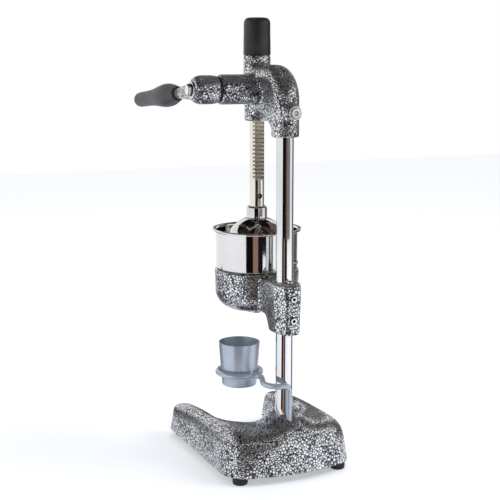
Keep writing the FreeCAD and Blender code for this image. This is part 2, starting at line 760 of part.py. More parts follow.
def lever_grip():
    """Bulb-shaped hand grip."""
    direction = lever_direction()
    across = Vector(0, direction.z, -direction.y)

    def at(distance, radius):
        return lever_frame(distance) + across * radius

    knots = (
        (GRIP_START, 12.0),
        (GRIP_START + 14, 14.2),
        (GRIP_START + 34, 18.6),
        (GRIP_START + 52, 20.0),
        (GRIP_START + 72, 18.8),
        (GRIP_START + 105, 14.8),
        (GRIP_START + 140, 13.2),
        (GRIP_START + 175, 13.4),
        (GRIP_END - 12, 13.0),
    )
    swell = Part.BSplineCurve()
    swell.interpolate([at(distance, radius) for distance, radius in knots])
    dome = Part.Arc(
        at(*knots[-1]),
        at(GRIP_END - 3.6, knots[-1][1] - 3.4),
        at(GRIP_END, GRIP_FLAT_RADIUS),
    )
    edges = [
        swell.toShape(),
        dome.toShape(),
        Part.makeLine(at(GRIP_END, GRIP_FLAT_RADIUS), at(GRIP_END, 0.0)),
        Part.makeLine(at(GRIP_END, 0.0), at(ROD_END, 0.0)),
        Part.makeLine(at(ROD_END, 0.0), at(ROD_END, ROD_RADIUS)),
        Part.makeLine(at(ROD_END, ROD_RADIUS), at(GRIP_START, ROD_RADIUS)),
        Part.makeLine(at(GRIP_START, ROD_RADIUS), at(GRIP_START, knots[0][1])),
    ]
    return turned_on_lever(edges)


def rack_gap(index):
    """Space between two rack teeth, as a prism across the ram."""
    middle = AXLE_Z + (index + 0.5) * TOOTH_PITCH
    slope = math.tan(PRESSURE_ANGLE)
    pitch_y = RAM_Y + RACK_TIP - ADDENDUM
    half_pitch_gap = TOOTH_PITCH / 4 + BACKLASH / 2
    root_half = half_pitch_gap - DEDENDUM * slope
    open_reach = ADDENDUM + 1.0
    open_half = half_pitch_gap + open_reach * slope
    corners = (
        (pitch_y - DEDENDUM, middle - root_half),
        (pitch_y + open_reach, middle - open_half),
        (pitch_y + open_reach, middle + open_half),
        (pitch_y - DEDENDUM, middle + root_half),
    )
    outline = [Vector(-15, y, z) for y, z in corners]
    return prism(outline, X_AXIS * 30)


def ram_rack():
    """Round ram with the rack cut into its column side."""
    ram = upright(RAM_RADIUS, RAM_BOTTOM_Z, RAM_TOP_Z - 1.5, 0, RAM_Y)
    ram = ram.fuse(Part.makeCone(RAM_RADIUS, RAM_RADIUS - 1.5, 1.5, Vector(0, RAM_Y, RAM_TOP_Z - 1.5)))
    flat_low = AXLE_Z + (RACK_GAPS[0] + 0.5) * TOOTH_PITCH - 5.5
    flat = Part.makeBox(30, 10, 200, Vector(-15, RAM_Y + RACK_TIP, flat_low))
    cuts = [flat] + [rack_gap(index) for index in RACK_GAPS]
    cuts.append(along_y(CROSS_HOLE_RADIUS, RAM_Y - 20, RAM_Y + 20, CROSS_HOLE_Z))
    cuts.append(upright(5.0, RAM_BOTTOM_Z - 1, RAM_BOTTOM_Z + 25, 0, RAM_Y))
    return ram.cut(Part.makeCompound(cuts)).removeSplitter()


def bell_collar():
    """Turned collar on top of the bell."""
    low = RAM_BOTTOM_Z
    high = BELL_COLLAR_TOP_Z
    return turned_upright(
        (
            (RAM_RADIUS, low),
            (BELL_COLLAR_RADIUS, low),
            (BELL_COLLAR_RADIUS, high - 1.2),
            (BELL_COLLAR_RADIUS - 1.2, high),
            (RAM_RADIUS, high),
        ),
        0,
        RAM_Y,
    )


def press_bell():
    """Domed bell that presses the fruit, with a thick crown under the ram."""
    centre = Vector(0, RAM_Y, BELL_CENTRE_Z)
    outer = Part.makeSphere(BELL_RADIUS, centre)
    outer = outer.common(upright(BELL_RADIUS + 1, BELL_CENTRE_Z, RAM_BOTTOM_Z, 0, RAM_Y))
    outer = outer.fuse(upright(BELL_RADIUS, BELL_BOTTOM_Z, BELL_CENTRE_Z, 0, RAM_Y))
    inner = Part.makeSphere(BELL_RADIUS - BELL_WALL, centre)
    inner = inner.common(upright(BELL_RADIUS, BELL_CENTRE_Z, RAM_BOTTOM_Z - 5.5, 0, RAM_Y))
    inner = inner.fuse(
        upright(BELL_RADIUS - BELL_WALL, BELL_BOTTOM_Z - 1, BELL_CENTRE_Z, 0, RAM_Y)
    )
    return outer.cut(inner).cut(upright(5.2, 380, 410, 0, RAM_Y)).removeSplitter()


def bell_washer():
    """Washer inside the bell."""
    high = RAM_BOTTOM_Z - 5.5
    washer = upright(12.0, high - 2, high, 0, RAM_Y)
    return washer.cut(upright(5.2, high - 3, high + 1, 0, RAM_Y))


def bell_screw():
    """Screw that holds the bell and collar on the ram."""
    face = Vector(0, RAM_Y, RAM_BOTTOM_Z - 7.5)
    return cap_screw(face, -Z_AXIS, 8.0, 6.0, 5.0, 28.0, 8.0)


def juice_bowl():
    """Spun steel bowl with a rolled rim and a stepped spigot."""
    outer = BOWL_RADIUS
    inner = BOWL_RADIUS - BOWL_WALL
    spigot = SPIGOT_BOWL_RADIUS
    step = BOWL_STEP_Z
    floor = SPIGOT_BOWL_BOTTOM_Z
    rim = BOWL_RIM_Z
    bowl = turned_upright(
        (
            (inner, step + BOWL_WALL),
            (inner, rim - 1.0),
            (inner + 3.0, rim + 1.2),
            (BOWL_RIM_RADIUS - BOWL_BEAD, rim + 1.2),
            (BOWL_RIM_RADIUS - BOWL_BEAD, rim - 0.3),
            (outer + 1.6, rim - 0.6),
            (outer, rim - 2.2),
            (outer, step + 1.0),
            (outer - 1.0, step),
            (spigot, step),
            (spigot, floor),
            (spigot - 5.0, floor),
            (spigot - 5.0, floor + BOWL_WALL),
            (spigot - BOWL_WALL, floor + BOWL_WALL),
            (spigot - BOWL_WALL, step + BOWL_WALL),
        ),
        0,
        RAM_Y,
    )
    bead = Part.makeTorus(
        BOWL_RIM_RADIUS - BOWL_BEAD, BOWL_BEAD, Vector(0, RAM_Y, rim), Z_AXIS
    )
    return bowl.fuse(bead)


def bowl_stud():
    """Small locating stud on the outside of the bowl."""
    turn = math.radians(BOWL_STUD_ANGLE)
    out = Vector(math.cos(turn), math.sin(turn), 0)
    start = Vector(0, RAM_Y, BOWL_STUD_Z) + out * BOWL_RADIUS
    stud = cylinder(2.6, start - out * 0.6, start + out * 4.0)
    return stud.cut(upright(BOWL_RADIUS, BOWL_STUD_Z - 10, BOWL_STUD_Z + 10, 0, RAM_Y))


def strainer_plate():
    """Perforated plate on the step of the bowl."""
    low = BOWL_STEP_Z + BOWL_WALL
    plate = upright(BOWL_RADIUS - BOWL_WALL - 0.3, low, low + STRAINER_THICKNESS, 0, RAM_Y)
    holes = []
    for ring_radius, count in STRAINER_RINGS:
        for index in range(count):
            angle = 2 * math.pi * index / count
            x = ring_radius * math.cos(angle)
            y = RAM_Y + ring_radius * math.sin(angle)
            holes.append(upright(STRAINER_HOLE, low - 1, low + 4, x, y))
    return plate.cut(Part.makeCompound(holes))


def reamer_cone():
    """Ribbed cone that the half fruit is pressed on."""
    low = BOWL_STEP_Z + BOWL_WALL + STRAINER_THICKNESS

    def at(radius, height):
        return Vector(radius, RAM_Y, low + height)

    middle_radius = REAMER_RADIUS * 0.62
    edges = [
        Part.makeLine(at(0, 0), at(REAMER_RADIUS, 0)),
        Part.makeLine(at(REAMER_RADIUS, 0), at(REAMER_RADIUS, 3.0)),
        Part.Arc(
            at(REAMER_RADIUS, 3.0),
            at(middle_radius, REAMER_HEIGHT * 0.62),
            at(4.0, REAMER_HEIGHT),
        ).toShape(),
        Part.makeLine(at(4.0, REAMER_HEIGHT), at(0, REAMER_HEIGHT + 1.5)),
        Part.makeLine(at(0, REAMER_HEIGHT + 1.5), at(0, 0)),
    ]
    cone = turned(edges, Vector(0, RAM_Y, 0), Z_AXIS)
    grooves = []
    for index in range(REAMER_RIBS):
        turn = 2 * math.pi * index / REAMER_RIBS
        out = Vector(math.cos(turn), math.sin(turn), 0)
        foot = Vector(0, RAM_Y, low + 6.0) + out * (REAMER_RADIUS + 3.5)
        tip = Vector(0, RAM_Y, low + REAMER_HEIGHT + 4.0) + out * 8.5
        grooves.append(cylinder(5.0, foot, tip))
    return cone.cut(Part.makeCompound(grooves))


def carrier_ring():
    """Bowl-shaped part of the carrier casting."""

    def at(radius, height):
        return Vector(radius, RAM_Y, height)

    seat = CARRIER_SEAT_RADIUS
    edges = [
        Part.makeLine(at(seat, CARRIER_TOP_Z), at(CARRIER_RADIUS - 1.5, CARRIER_TOP_Z)),
        Part.makeLine(at(CARRIER_RADIUS - 1.5, CARRIER_TOP_Z), at(CARRIER_RADIUS, CARRIER_TOP_Z - 1.5)),
        Part.makeLine(at(CARRIER_RADIUS, CARRIER_TOP_Z - 1.5), at(*CARRIER_WAIST)),
        Part.Arc(at(*CARRIER_WAIST), at(*CARRIER_BULGE), at(*CARRIER_FLOOR)).toShape(),
        Part.makeLine(at(*CARRIER_FLOOR), at(SPOUT_RADIUS, CARRIER_FLOOR[1])),
        Part.makeLine(at(SPOUT_RADIUS, CARRIER_FLOOR[1]), at(SPOUT_RADIUS, FUNNEL_FLOOR_Z)),
        Part.makeLine(at(SPOUT_RADIUS, FUNNEL_FLOOR_Z), at(SPOUT_FLANGE + 1, FUNNEL_FLOOR_Z)),
        Part.makeLine(at(SPOUT_FLANGE + 1, FUNNEL_FLOOR_Z), at(FUNNEL_TOP_RADIUS, 292.0)),
        Part.makeLine(at(FUNNEL_TOP_RADIUS, 292.0), at(FUNNEL_TOP_RADIUS, SPIGOT_BOWL_BOTTOM_Z)),
        Part.makeLine(at(FUNNEL_TOP_RADIUS, SPIGOT_BOWL_BOTTOM_Z), at(seat, SPIGOT_BOWL_BOTTOM_Z)),
        Part.makeLine(at(seat, SPIGOT_BOWL_BOTTOM_Z), at(seat, CARRIER_TOP_Z)),
    ]
    return turned(edges, Vector(0, RAM_Y, 0), Z_AXIS)


def clamp_outline(inset, z):
    """Plan of the clamp block at one height, narrowed by inset."""
    side = CLAMP_HALF_WIDTH - inset
    lug = LUG_HALF_WIDTH - inset * 0.6
    face = LUG_FACE_Y - inset * 0.3
    points = (
        (-side, RAM_Y + 52.0),
        (side, RAM_Y + 52.0),
        (side, 10.0),
        (side - 4.0, 18.0),
        (lug + 2.5, 26.0),
        (lug, face - 2.0),
        (lug - 2.0, face),
        (2.0 - lug, face),
        (-lug, face - 2.0),
        (-lug - 2.5, 26.0),
        (4.0 - side, 18.0),
        (-side, 10.0),
    )
    return polygon([Vector(x, y, z) for x, y in points])


def clamp_block():
    """Block round the column with a narrower lug to the rear."""
    wires = [clamp_outline(CLAMP_TAPER, CLAMP_BOTTOM_Z), clamp_outline(0.0, CLAMP_TOP_Z)]
    block = Part.makeLoft(wires, True, True)
    slope = (
        (RAM_Y + 40.0, CLAMP_BOTTOM_Z - 1),
        (-17.0, CLAMP_BOTTOM_Z - 1),
        (-20.0, CLAMP_BOTTOM_Z + 5),
        (-27.0, CLAMP_BOTTOM_Z + 23),
        (RAM_Y + 53.0, CARRIER_FLOOR[1] + 6),
        (RAM_Y + 40.0, CARRIER_FLOOR[1]),
    )
    across = 2 * CLAMP_HALF_WIDTH + 2
    under = prism([Vector(-across / 2, y, z) for y, z in slope], X_AXIS * across)
    return block.cut(under)


def bowl_carrier():
    """Carrier casting: bowl seat, juice funnel and column clamp."""
    ring = carrier_ring()
    inside = turned_upright(
        (
            (0.0, CARRIER_FLOOR[1] - 1),
            (SPOUT_RADIUS, CARRIER_FLOOR[1] - 1),
            (SPOUT_RADIUS, FUNNEL_FLOOR_Z),
            (SPOUT_FLANGE + 1, FUNNEL_FLOOR_Z),
            (FUNNEL_TOP_RADIUS, 292.0),
            (FUNNEL_TOP_RADIUS, SPIGOT_BOWL_BOTTOM_Z),
            (CARRIER_SEAT_RADIUS, SPIGOT_BOWL_BOTTOM_Z),
            (CARRIER_SEAT_RADIUS, CARRIER_TOP_Z + 10),
            (0.0, CARRIER_TOP_Z + 10),
        ),
        0,
        RAM_Y,
    )
    block = clamp_block().cut(inside)
    body = ring.fuse(block)
    cuts = [upright(COLUMN_RADIUS + HOLE_PLAY, CLAMP_BOTTOM_Z - 1, CLAMP_TOP_Z + 10)]
    for z in CLAMP_SCREW_HEIGHTS:
        cuts.append(along_y(3.05, 0, LUG_FACE_Y + 1, z))
        cuts.append(along_y(5.3, LUG_FACE_Y - 3.5, LUG_FACE_Y + 1, z))
    cuts.append(upright(2.55, CLAMP_TOP_Z - 14, CLAMP_TOP_Z + 1, 0, LUG_SCREW_Y))
    return body.cut(Part.makeCompound(cuts)).removeSplitter()


def carrier_clamp_screws():
    """Two socket-head screws that hold the carrier on the column."""
    screws = []
    for z in CLAMP_SCREW_HEIGHTS:
        face = Vector(0, LUG_FACE_Y - 3.5, z)
        length = face.y - COLUMN_RADIUS
        screws.append(cap_screw(face, Y_AXIS, 5.0, 5.0, 3.0, length, 5.0))
    return Part.makeCompound(screws)


def lug_screw():
    """Dome-headed screw in the top of the carrier lug."""
    dome = Part.makeSphere(4.4, Vector(0, LUG_SCREW_Y, CLAMP_TOP_Z + 1.6))
    dome = dome.cut(upright(6.0, CLAMP_TOP_Z - 6, CLAMP_TOP_Z, 0, LUG_SCREW_Y))
    return dome.fuse(upright(2.5, CLAMP_TOP_Z - 12, CLAMP_TOP_Z + 1, 0, LUG_SCREW_Y))


def juice_spout():
    """Flanged steel spout under the funnel."""
    return turned_upright(
        (
            (SPOUT_BORE, SPOUT_BOTTOM_Z),
            (SPOUT_RADIUS, SPOUT_BOTTOM_Z),
            (SPOUT_RADIUS, FUNNEL_FLOOR_Z),
            (SPOUT_FLANGE, FUNNEL_FLOOR_Z),
            (SPOUT_FLANGE, FUNNEL_FLOOR_Z + 1.5),
            (SPOUT_BORE, FUNNEL_FLOOR_Z + 1.5),
        ),
        0,
        RAM_Y,
    )


def walked_path(start, heading_deg, steps):
    """Level path of lines and tangent arcs, each step starting where the last one ended."""
    place = start
    heading = math.radians(heading_deg)
    edges = []
    for step in steps:
        if step[0] == "line":
            goal = place + Vector(math.cos(heading), math.sin(heading), 0) * step[1]
            edges.append(Part.makeLine(place, goal))
            place = goal
            continue
        radius, turn = step[1], math.radians(step[2])
        side = math.copysign(1.0, turn)
        to_centre = Vector(-math.sin(heading), math.cos(heading), 0) * side
        centre = place + to_centre * radius

        def on_arc(part):
            angle = heading + turn * part
            return centre - Vector(-math.sin(angle), math.cos(angle), 0) * side * radius

        for half in (0, 1):
            begin, middle, finish = (half + share for share in (0.0, 0.5, 1.0))
            edges.append(
                Part.Arc(on_arc(begin / 2), on_arc(middle / 2), on_arc(finish / 2)).toShape()
            )
        place = on_arc(1.0)
        heading += turn
    return edges


def ring_centre():
    """Centre of the cup ring, found by walking the same steps."""
    place = Vector(HOLDER_X + HOLDER_BEND, HOLDER_Y, HOLDER_Z)
    heading = 0.0
    for step in HOLDER_STEPS[:-1]:
        if step[0] == "line":
            place = place + Vector(math.cos(heading), math.sin(heading), 0) * step[1]
            continue
        turn = math.radians(step[2])
        side = math.copysign(1.0, turn)
        normal = Vector(-math.sin(heading), math.cos(heading), 0) * side
        centre = place + normal * step[1]
        heading += turn
        place = centre - Vector(-math.sin(heading), math.cos(heading), 0) * side * step[1]
    right = Vector(math.sin(heading), -math.cos(heading), 0)
    return place + right * RING_RADIUS


def cup_holder():
    """Bent rod: pivot leg, arm round the column and cup ring."""
    foot = Vector(HOLDER_X, HOLDER_Y, HOLDER_FOOT_Z)
    bend_start = Vector(HOLDER_X, HOLDER_Y, HOLDER_Z - HOLDER_BEND)
    bend_end = Vector(HOLDER_X + HOLDER_BEND, HOLDER_Y, HOLDER_Z)
    share = HOLDER_BEND * (1 - math.sqrt(0.5))
    bend_middle = Vector(HOLDER_X + share, HOLDER_Y, HOLDER_Z - share)
    edges = [
        Part.makeLine(foot, bend_start),
        Part.Arc(bend_start, bend_middle, bend_end).toShape(),
    ]
    edges += walked_path(bend_end, 0.0, HOLDER_STEPS)
    path = Part.Wire(edges)
    section = Part.Wire([Part.makeCircle(HOLDER_ROD, foot, Z_AXIS)])
    rod = path.makePipeShell([section], True, True)
    print("cup holder volume over section times length:",
          round(rod.Volume / (math.pi * HOLDER_ROD ** 2 * path.Length), 4))
    return rod


def drip_cup():
    """Tapered cup that rests in the ring."""
    centre = ring_centre()
    low = CUP_BOTTOM_Z
    slope = (CUP_TOP_RADIUS - CUP_BOTTOM_RADIUS) / (CUP_TOP_Z - low)
    inner_low = CUP_BOTTOM_RADIUS + slope * 2 - CUP_WALL
    return turned_upright(
        (
            (0.0, low),
            (CUP_BOTTOM_RADIUS - 1.5, low),
            (CUP_BOTTOM_RADIUS + 0.1, low + 1.5),
            (CUP_TOP_RADIUS, CUP_TOP_Z),
            (CUP_TOP_RADIUS - CUP_WALL, CUP_TOP_Z),
            (inner_low, low + 2.0),
            (0.0, low + 2.0),
        ),
        centre.x,
        centre.y,
    )


NODES = {
    "base_casting": base_casting,
    "rubber_feet": rubber_feet,
    "foot_studs": foot_studs,
    "column_tube": column_tube,
    "column_plug": column_plug,
    "column_washer": column_washer,
    "column_bolt": column_bolt,
    "head_casting": head_casting,
    "head_clamp_washer": head_clamp_washer,
    "head_clamp_screw": head_clamp_screw,
    "upper_ram_bush": lambda: ram_bush(SPIGOT_TOP_Z - UPPER_BUSH_LENGTH, SPIGOT_TOP_Z),
    "lower_ram_bush": lambda: ram_bush(GUIDE_BOTTOM_Z, GUIDE_BOTTOM_Z + LOWER_BUSH_LENGTH),
    "top_cap": top_cap,
    "pinion_cover": pinion_cover,
    "cover_screws": cover_screws,
    "inner_shaft_bush": inner_bush,
    "outer_shaft_bush": outer_bush,
    "pinion_shaft": pinion_shaft,
    "pinion_gear": pinion_gear,
    "pinion_key": lambda: key_block(GEAR_KEY[0], GEAR_KEY[1], SHAFT_RADIUS, 0.0),
    "hub_key": lambda: key_block(HUB_KEY[0], HUB_KEY[1], SHAFT_END_RADIUS, 0.0),
    "thrust_ring": thrust_ring,
    "lever_hub": lever_hub,
    "hub_washer": hub_washer,
    "hub_bolt": hub_bolt,
    "lever_rod": lever_rod,
    "rod_collar": rod_collar,
    "lever_grip": lever_grip,
    "ram_rack": ram_rack,
    "bell_collar": bell_collar,
    "press_bell": press_bell,
    "bell_washer": bell_washer,
    "bell_screw": bell_screw,
    "juice_bowl": juice_bowl,
    "bowl_stud": bowl_stud,
    "strainer_plate": strainer_plate,
    "reamer_cone": reamer_cone,
    "bowl_carrier": bowl_carrier,
    "carrier_clamp_screws": carrier_clamp_screws,
    "lug_screw": lug_screw,
    "juice_spout": juice_spout,
    "cup_holder": cup_holder,
    "drip_cup": drip_cup,
}


def main():
    """Build every node, shift it into the finished frame and export it."""
    os.makedirs("parts", exist_ok=True)
    shift = Vector(COLUMN_X, COLUMN_Y, 0)
    for name, make in NODES.items():
        shape = make()
        shape.translate(shift)
        if not shape.isValid():
            print("not valid:", name)
        shape.exportStep(f"parts/{name}.step")
        box = shape.BoundBox
        print(f"{name}: {len(shape.Solids)} solid(s), {shape.Volume / 1000:.1f} cm3, "
              f"x {box.XMin:.1f}..{box.XMax:.1f} y {box.YMin:.1f}..{box.YMax:.1f} "
              f"z {box.ZMin:.1f}..{box.ZMax:.1f}")


main()
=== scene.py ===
"""Looks of a lever citrus press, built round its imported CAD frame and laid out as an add-on."""

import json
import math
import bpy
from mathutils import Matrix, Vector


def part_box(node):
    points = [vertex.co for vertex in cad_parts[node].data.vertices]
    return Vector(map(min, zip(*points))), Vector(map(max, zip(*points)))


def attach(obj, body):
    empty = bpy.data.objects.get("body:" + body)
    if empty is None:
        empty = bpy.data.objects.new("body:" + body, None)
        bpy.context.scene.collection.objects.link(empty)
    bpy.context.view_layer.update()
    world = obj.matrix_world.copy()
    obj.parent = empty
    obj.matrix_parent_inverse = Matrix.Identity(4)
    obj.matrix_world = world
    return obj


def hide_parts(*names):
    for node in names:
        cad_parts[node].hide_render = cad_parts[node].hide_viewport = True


bl_info = {
    "name": "Lever citrus press",
    "version": (1, 0, 0),
    "blender": (4, 5, 0),
    "location": "3D View > Sidebar > Press",
    "description": "Builds the castings, steel parts, lever and studio of a lever citrus press",
    "category": "Object",
}

import bmesh
import bpy
import numpy as np
from bpy.props import FloatProperty, FloatVectorProperty, IntProperty, PointerProperty
from mathutils import Matrix, Vector

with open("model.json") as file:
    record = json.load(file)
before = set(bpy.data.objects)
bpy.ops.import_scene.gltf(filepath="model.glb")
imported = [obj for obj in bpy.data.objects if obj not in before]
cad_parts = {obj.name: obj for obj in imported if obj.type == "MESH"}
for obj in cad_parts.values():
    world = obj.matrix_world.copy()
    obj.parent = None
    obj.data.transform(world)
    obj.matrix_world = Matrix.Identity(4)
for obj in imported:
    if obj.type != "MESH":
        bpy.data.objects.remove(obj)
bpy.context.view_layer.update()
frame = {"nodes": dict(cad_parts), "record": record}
CAD_NODES = frame["nodes"]
MM = 0.001
CROSS_HOLE_Z = 0.436
RACK_START_Z = 0.463

# Axes of the press, read off the CAD nodes
RAM_X = sum(c.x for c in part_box("ram_rack")) / 2
RAM_Y = sum(c.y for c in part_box("bell_collar")) / 2
COLUMN_X = sum(c.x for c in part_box("column_tube")) / 2
COLUMN_Y = sum(c.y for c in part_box("column_tube")) / 2
AXLE_Y = sum(c.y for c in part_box("pinion_gear")) / 2
AXLE_Z = sum(c.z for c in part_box("pinion_gear")) / 2
RAM_AXIS = Vector((RAM_X, RAM_Y, 0))
COLUMN_AXIS = Vector((COLUMN_X, COLUMN_Y, 0))
AXLE = Vector((0, AXLE_Y, AXLE_Z))
UP = Vector((0, 0, 1))
TO_RIGHT = Vector((1, 0, 0))
TO_REAR = Vector((0, 1, 0))


def linear(text):
    """Turn an sRGB hex colour into linear RGBA."""
    parts = [int(text[i : i + 2], 16) / 255 for i in (0, 2, 4)]
    return tuple(c / 12.92 if c <= 0.04045 else ((c + 0.055) / 1.055) ** 2.4 for c in parts) + (1.0,)


def colour_setting(name, description, text):
    """A colour property whose default is an sRGB hex value."""
    return FloatVectorProperty(
        name=name, description=description, default=linear(text), size=4, subtype="COLOR", min=0, max=1
    )


def length_setting(name, description, millimetres):
    """A length property with its default in millimetres."""
    return FloatProperty(name=name, description=description, default=millimetres * MM, unit="LENGTH", min=0)


class CastingSettings(bpy.types.PropertyGroup):
    """Sizes of the painted castings."""

    cell: length_setting("Hammer cell", "Width of one cell of the hammertone paint", 4.4)
    base_voxel: length_setting("Base grain", "Mesh spacing of the base casting", 2.2)
    head_voxel: length_setting("Head grain", "Mesh spacing of the head, carrier and hub", 1.5)
    base_rounds: IntProperty(
        name="Base rounding", description="Relaxing passes on the base", default=80, min=0
    )
    head_rounds: IntProperty(
        name="Head rounding", description="Relaxing passes on the head", default=26, min=0
    )


class FinishSettings(bpy.types.PropertyGroup):
    """Colours of the finishes."""

    paint_light: colour_setting("Hammertone light", "Silver cells of the hammertone paint", "f2f3f6")
    paint_dark: colour_setting("Hammertone dark", "Dark veins of the hammertone paint", "0c0c0e")
    silver_paint: colour_setting("Silver paint", "Paint of the cup and its holder", "b9c3d2")
    chrome: colour_setting("Chrome", "Chrome plate of the column", "e4e5e7")
    stainless: colour_setting("Stainless", "Polished stainless steel", "dcdad8")
    milled: colour_setting("Milled steel", "Rack and ram", "f0ebe0")
    cap: colour_setting("Cap", "Black moulded cap", "17181a")
    grip: colour_setting("Grip", "Grey moulded grip", "38383c")
    rubber: colour_setting("Rubber", "Feet", "1d1d1f")


class StageSettings(bpy.types.PropertyGroup):
    """Studio sizes and light."""

    floor_size: length_setting("Floor", "Width of the white floor", 9000)
    sky: FloatProperty(name="Sky", description="Strength of the even white light", default=0.50, min=0)
    key: FloatProperty(name="Key", description="Power of the main soft light in watts", default=26, min=0)


def settings():
    """The add-on's settings."""
    return bpy.context.scene.press_settings


class PressSettings(bpy.types.PropertyGroup):
    """All settings of the press."""

    casting: PointerProperty(type=CastingSettings)
    finish: PointerProperty(type=FinishSettings)
    stage: PointerProperty(type=StageSettings)


def add_node(tree, kind, inputs=None, **attributes):
    """Add a node; each input is a value, or an output socket to link from."""
    made = tree.nodes.new(kind)
    for name, value in attributes.items():
        setattr(made, name, value)
    for name, value in (inputs or {}).items():
        if isinstance(value, bpy.types.NodeSocket):
            tree.links.new(value, made.inputs[name])
        else:
            made.inputs[name].default_value = value
    return made


def new_material(name):
    """An empty node material with its shader and output; returns material, tree and shader."""
    material = bpy.data.materials.new(name)
    material.use_nodes = True
    tree = material.node_tree
    tree.nodes.clear()
    shader = add_node(tree, "ShaderNodeBsdfPrincipled")
    add_node(tree, "ShaderNodeOutputMaterial", {"Surface": shader.outputs[0]})
    return material, tree, shader


def object_place(tree):
    """Object coordinates, in metres."""
    return add_node(tree, "ShaderNodeTexCoord").outputs["Object"]


def set_shader(tree, shader, **values):
    """Set or link shader inputs; underscores stand for spaces."""
    for name, value in values.items():
        socket = shader.inputs[name.replace("_", " ").title().replace("Ior", "IOR")]
        if isinstance(value, bpy.types.NodeSocket):
            tree.links.new(value, socket)
        else:
            socket.default_value = value


def node_of(tree, kind):
    """The tree's one node of this kind."""
    return next(n for n in tree.nodes if n.type == kind)


def seen_directly(tree):
    """1 for what the camera or a mirror sees, 0 for light on its way to a matt surface."""
    paths = add_node(tree, "ShaderNodeLightPath")
    return add_node(
        tree,
        "ShaderNodeMath",
        {0: paths.outputs["Is Camera Ray"], 1: paths.outputs["Is Glossy Ray"]},
        operation="MAXIMUM",
    ).outputs[0]


def span(tree, source, low, high, to_low, to_high):
    """Map one range of a value to another, clamped."""
    return add_node(
        tree,
        "ShaderNodeMapRange",
        {"Value": source, "From Min": low, "From Max": high, "To Min": to_low, "To Max": to_high},
    ).outputs["Result"]


def blend_colours(tree, share, first, second):
    """Mix two colours by a share."""
    mix = add_node(tree, "ShaderNodeMix", {"Factor": share}, data_type="RGBA")
    for socket, value in ((mix.inputs[6], first), (mix.inputs[7], second)):
        if isinstance(value, bpy.types.NodeSocket):
            tree.links.new(value, socket)
        else:
            socket.default_value = value
    return mix.outputs[2]


def bumped(tree, height, distance, strength=1.0):
    """Bump normal from a height."""
    return add_node(
        tree, "ShaderNodeBump", {"Height": height, "Distance": distance, "Strength": strength}
    ).outputs["Normal"]


def noise(tree, place, size, detail=2.0):
    """Noise value with features of about this size in metres."""
    return add_node(
        tree, "ShaderNodeTexNoise", {"Vector": place, "Scale": 1 / size, "Detail": detail}
    ).outputs["Fac"]


def stretched(tree, place, scale):
    """Object coordinates scaled per axis, to draw out a pattern."""
    return add_node(tree, "ShaderNodeMapping", {"Vector": place, "Scale": scale}).outputs["Vector"]


def hammertone_enamel():
    """Hammertone enamel, sprayed on rough castings.

    The aluminium flake floats into shining cells, and the resin left between them dries as
    dark veins, so the eye sees a pebbled silver skin with soft highlights in every cell.
    """
    material, tree, shader = new_material("hammertone enamel, sprayed")
    finish = settings().finish
    cell = settings().casting.cell
    place = object_place(tree)
    drift = add_node(tree, "ShaderNodeTexNoise", {"Vector": place, "Scale": 1 / (cell * 1.6), "Detail": 2.0})
    shift = add_node(
        tree, "ShaderNodeVectorMath", {0: drift.outputs["Color"], 1: (0.5, 0.5, 0.5)}, operation="SUBTRACT"
    )
    pushed = add_node(
        tree,
        "ShaderNodeVectorMath",
        {0: shift.outputs[0], 1: (cell * 0.9,) * 3, 2: place},
        operation="MULTIPLY_ADD",
    )
    cells = add_node(
        tree,
        "ShaderNodeTexVoronoi",
        {"Vector": pushed.outputs[0], "Scale": 1 / cell, "Randomness": 1.0},
        feature="DISTANCE_TO_EDGE",
    )
    edge = cells.outputs["Distance"]
    patches = noise(tree, place, cell * 5.0, 1.0)
    vein = span(tree, patches, 0.3, 0.7, 0.12, 0.23)
    lifted = add_node(tree, "ShaderNodeMath", {0: edge, 1: vein}, operation="DIVIDE", use_clamp=True)
    soft = add_node(tree, "ShaderNodeMath", {0: lifted.outputs[0], 1: 3.0}, operation="POWER")
    tone = add_node(
        tree,
        "ShaderNodeTexVoronoi",
        {"Vector": pushed.outputs[0], "Scale": 1 / cell, "Randomness": 1.0},
        feature="F1",
    )
    cell_tone = span(tree, tone.outputs["Color"], 0.0, 1.0, 0.0, 0.55)
    light = blend_colours(tree, cell_tone, finish.paint_light, linear("b4b6ba"))
    colour = blend_colours(tree, soft.outputs[0], finish.paint_dark, light)
    set_shader(
        tree,
        shader,
        base_color=colour,
        metallic=span(tree, soft.outputs[0], 0.0, 1.0, 0.1, 0.96),
        roughness=span(tree, soft.outputs[0], 0.0, 1.0, 0.40, 0.17),
        coat_weight=0.1,
        coat_roughness=0.12,
        normal=bumped(tree, span(tree, edge, 0.0, 0.28, 0.0, 1.0), 0.00022, 0.8),
    )
    return material


def satin_paint():
    """Silver-grey stoving paint on wire and spun cup: an even satin with a fine metallic flake."""
    material, tree, shader = new_material("silver stoving paint, satin")
    place = object_place(tree)
    base = settings().finish.silver_paint
    # Real flake is too fine to show, so it is drawn at half a millimetre
    flake = add_node(tree, "ShaderNodeTexVoronoi", {"Vector": place, "Scale": 1 / 0.0005}).outputs["Color"]
    cloud = noise(tree, place, 0.030)
    darker = blend_colours(tree, span(tree, cloud, 0.3, 0.7, 0.0, 0.25), base, linear("7f8997"))
    colour = blend_colours(tree, span(tree, flake, 0.0, 1.0, 0.0, 0.07), darker, linear("e2e6ec"))
    set_shader(
        tree,
        shader,
        base_color=colour,
        metallic=0.55,
        roughness=span(tree, flake, 0.0, 1.0, 0.29, 0.33),
        coat_weight=0.2,
        coat_roughness=0.25,
        normal=bumped(tree, noise(tree, place, 0.0016), 0.00006, 0.5),
    )
    return material


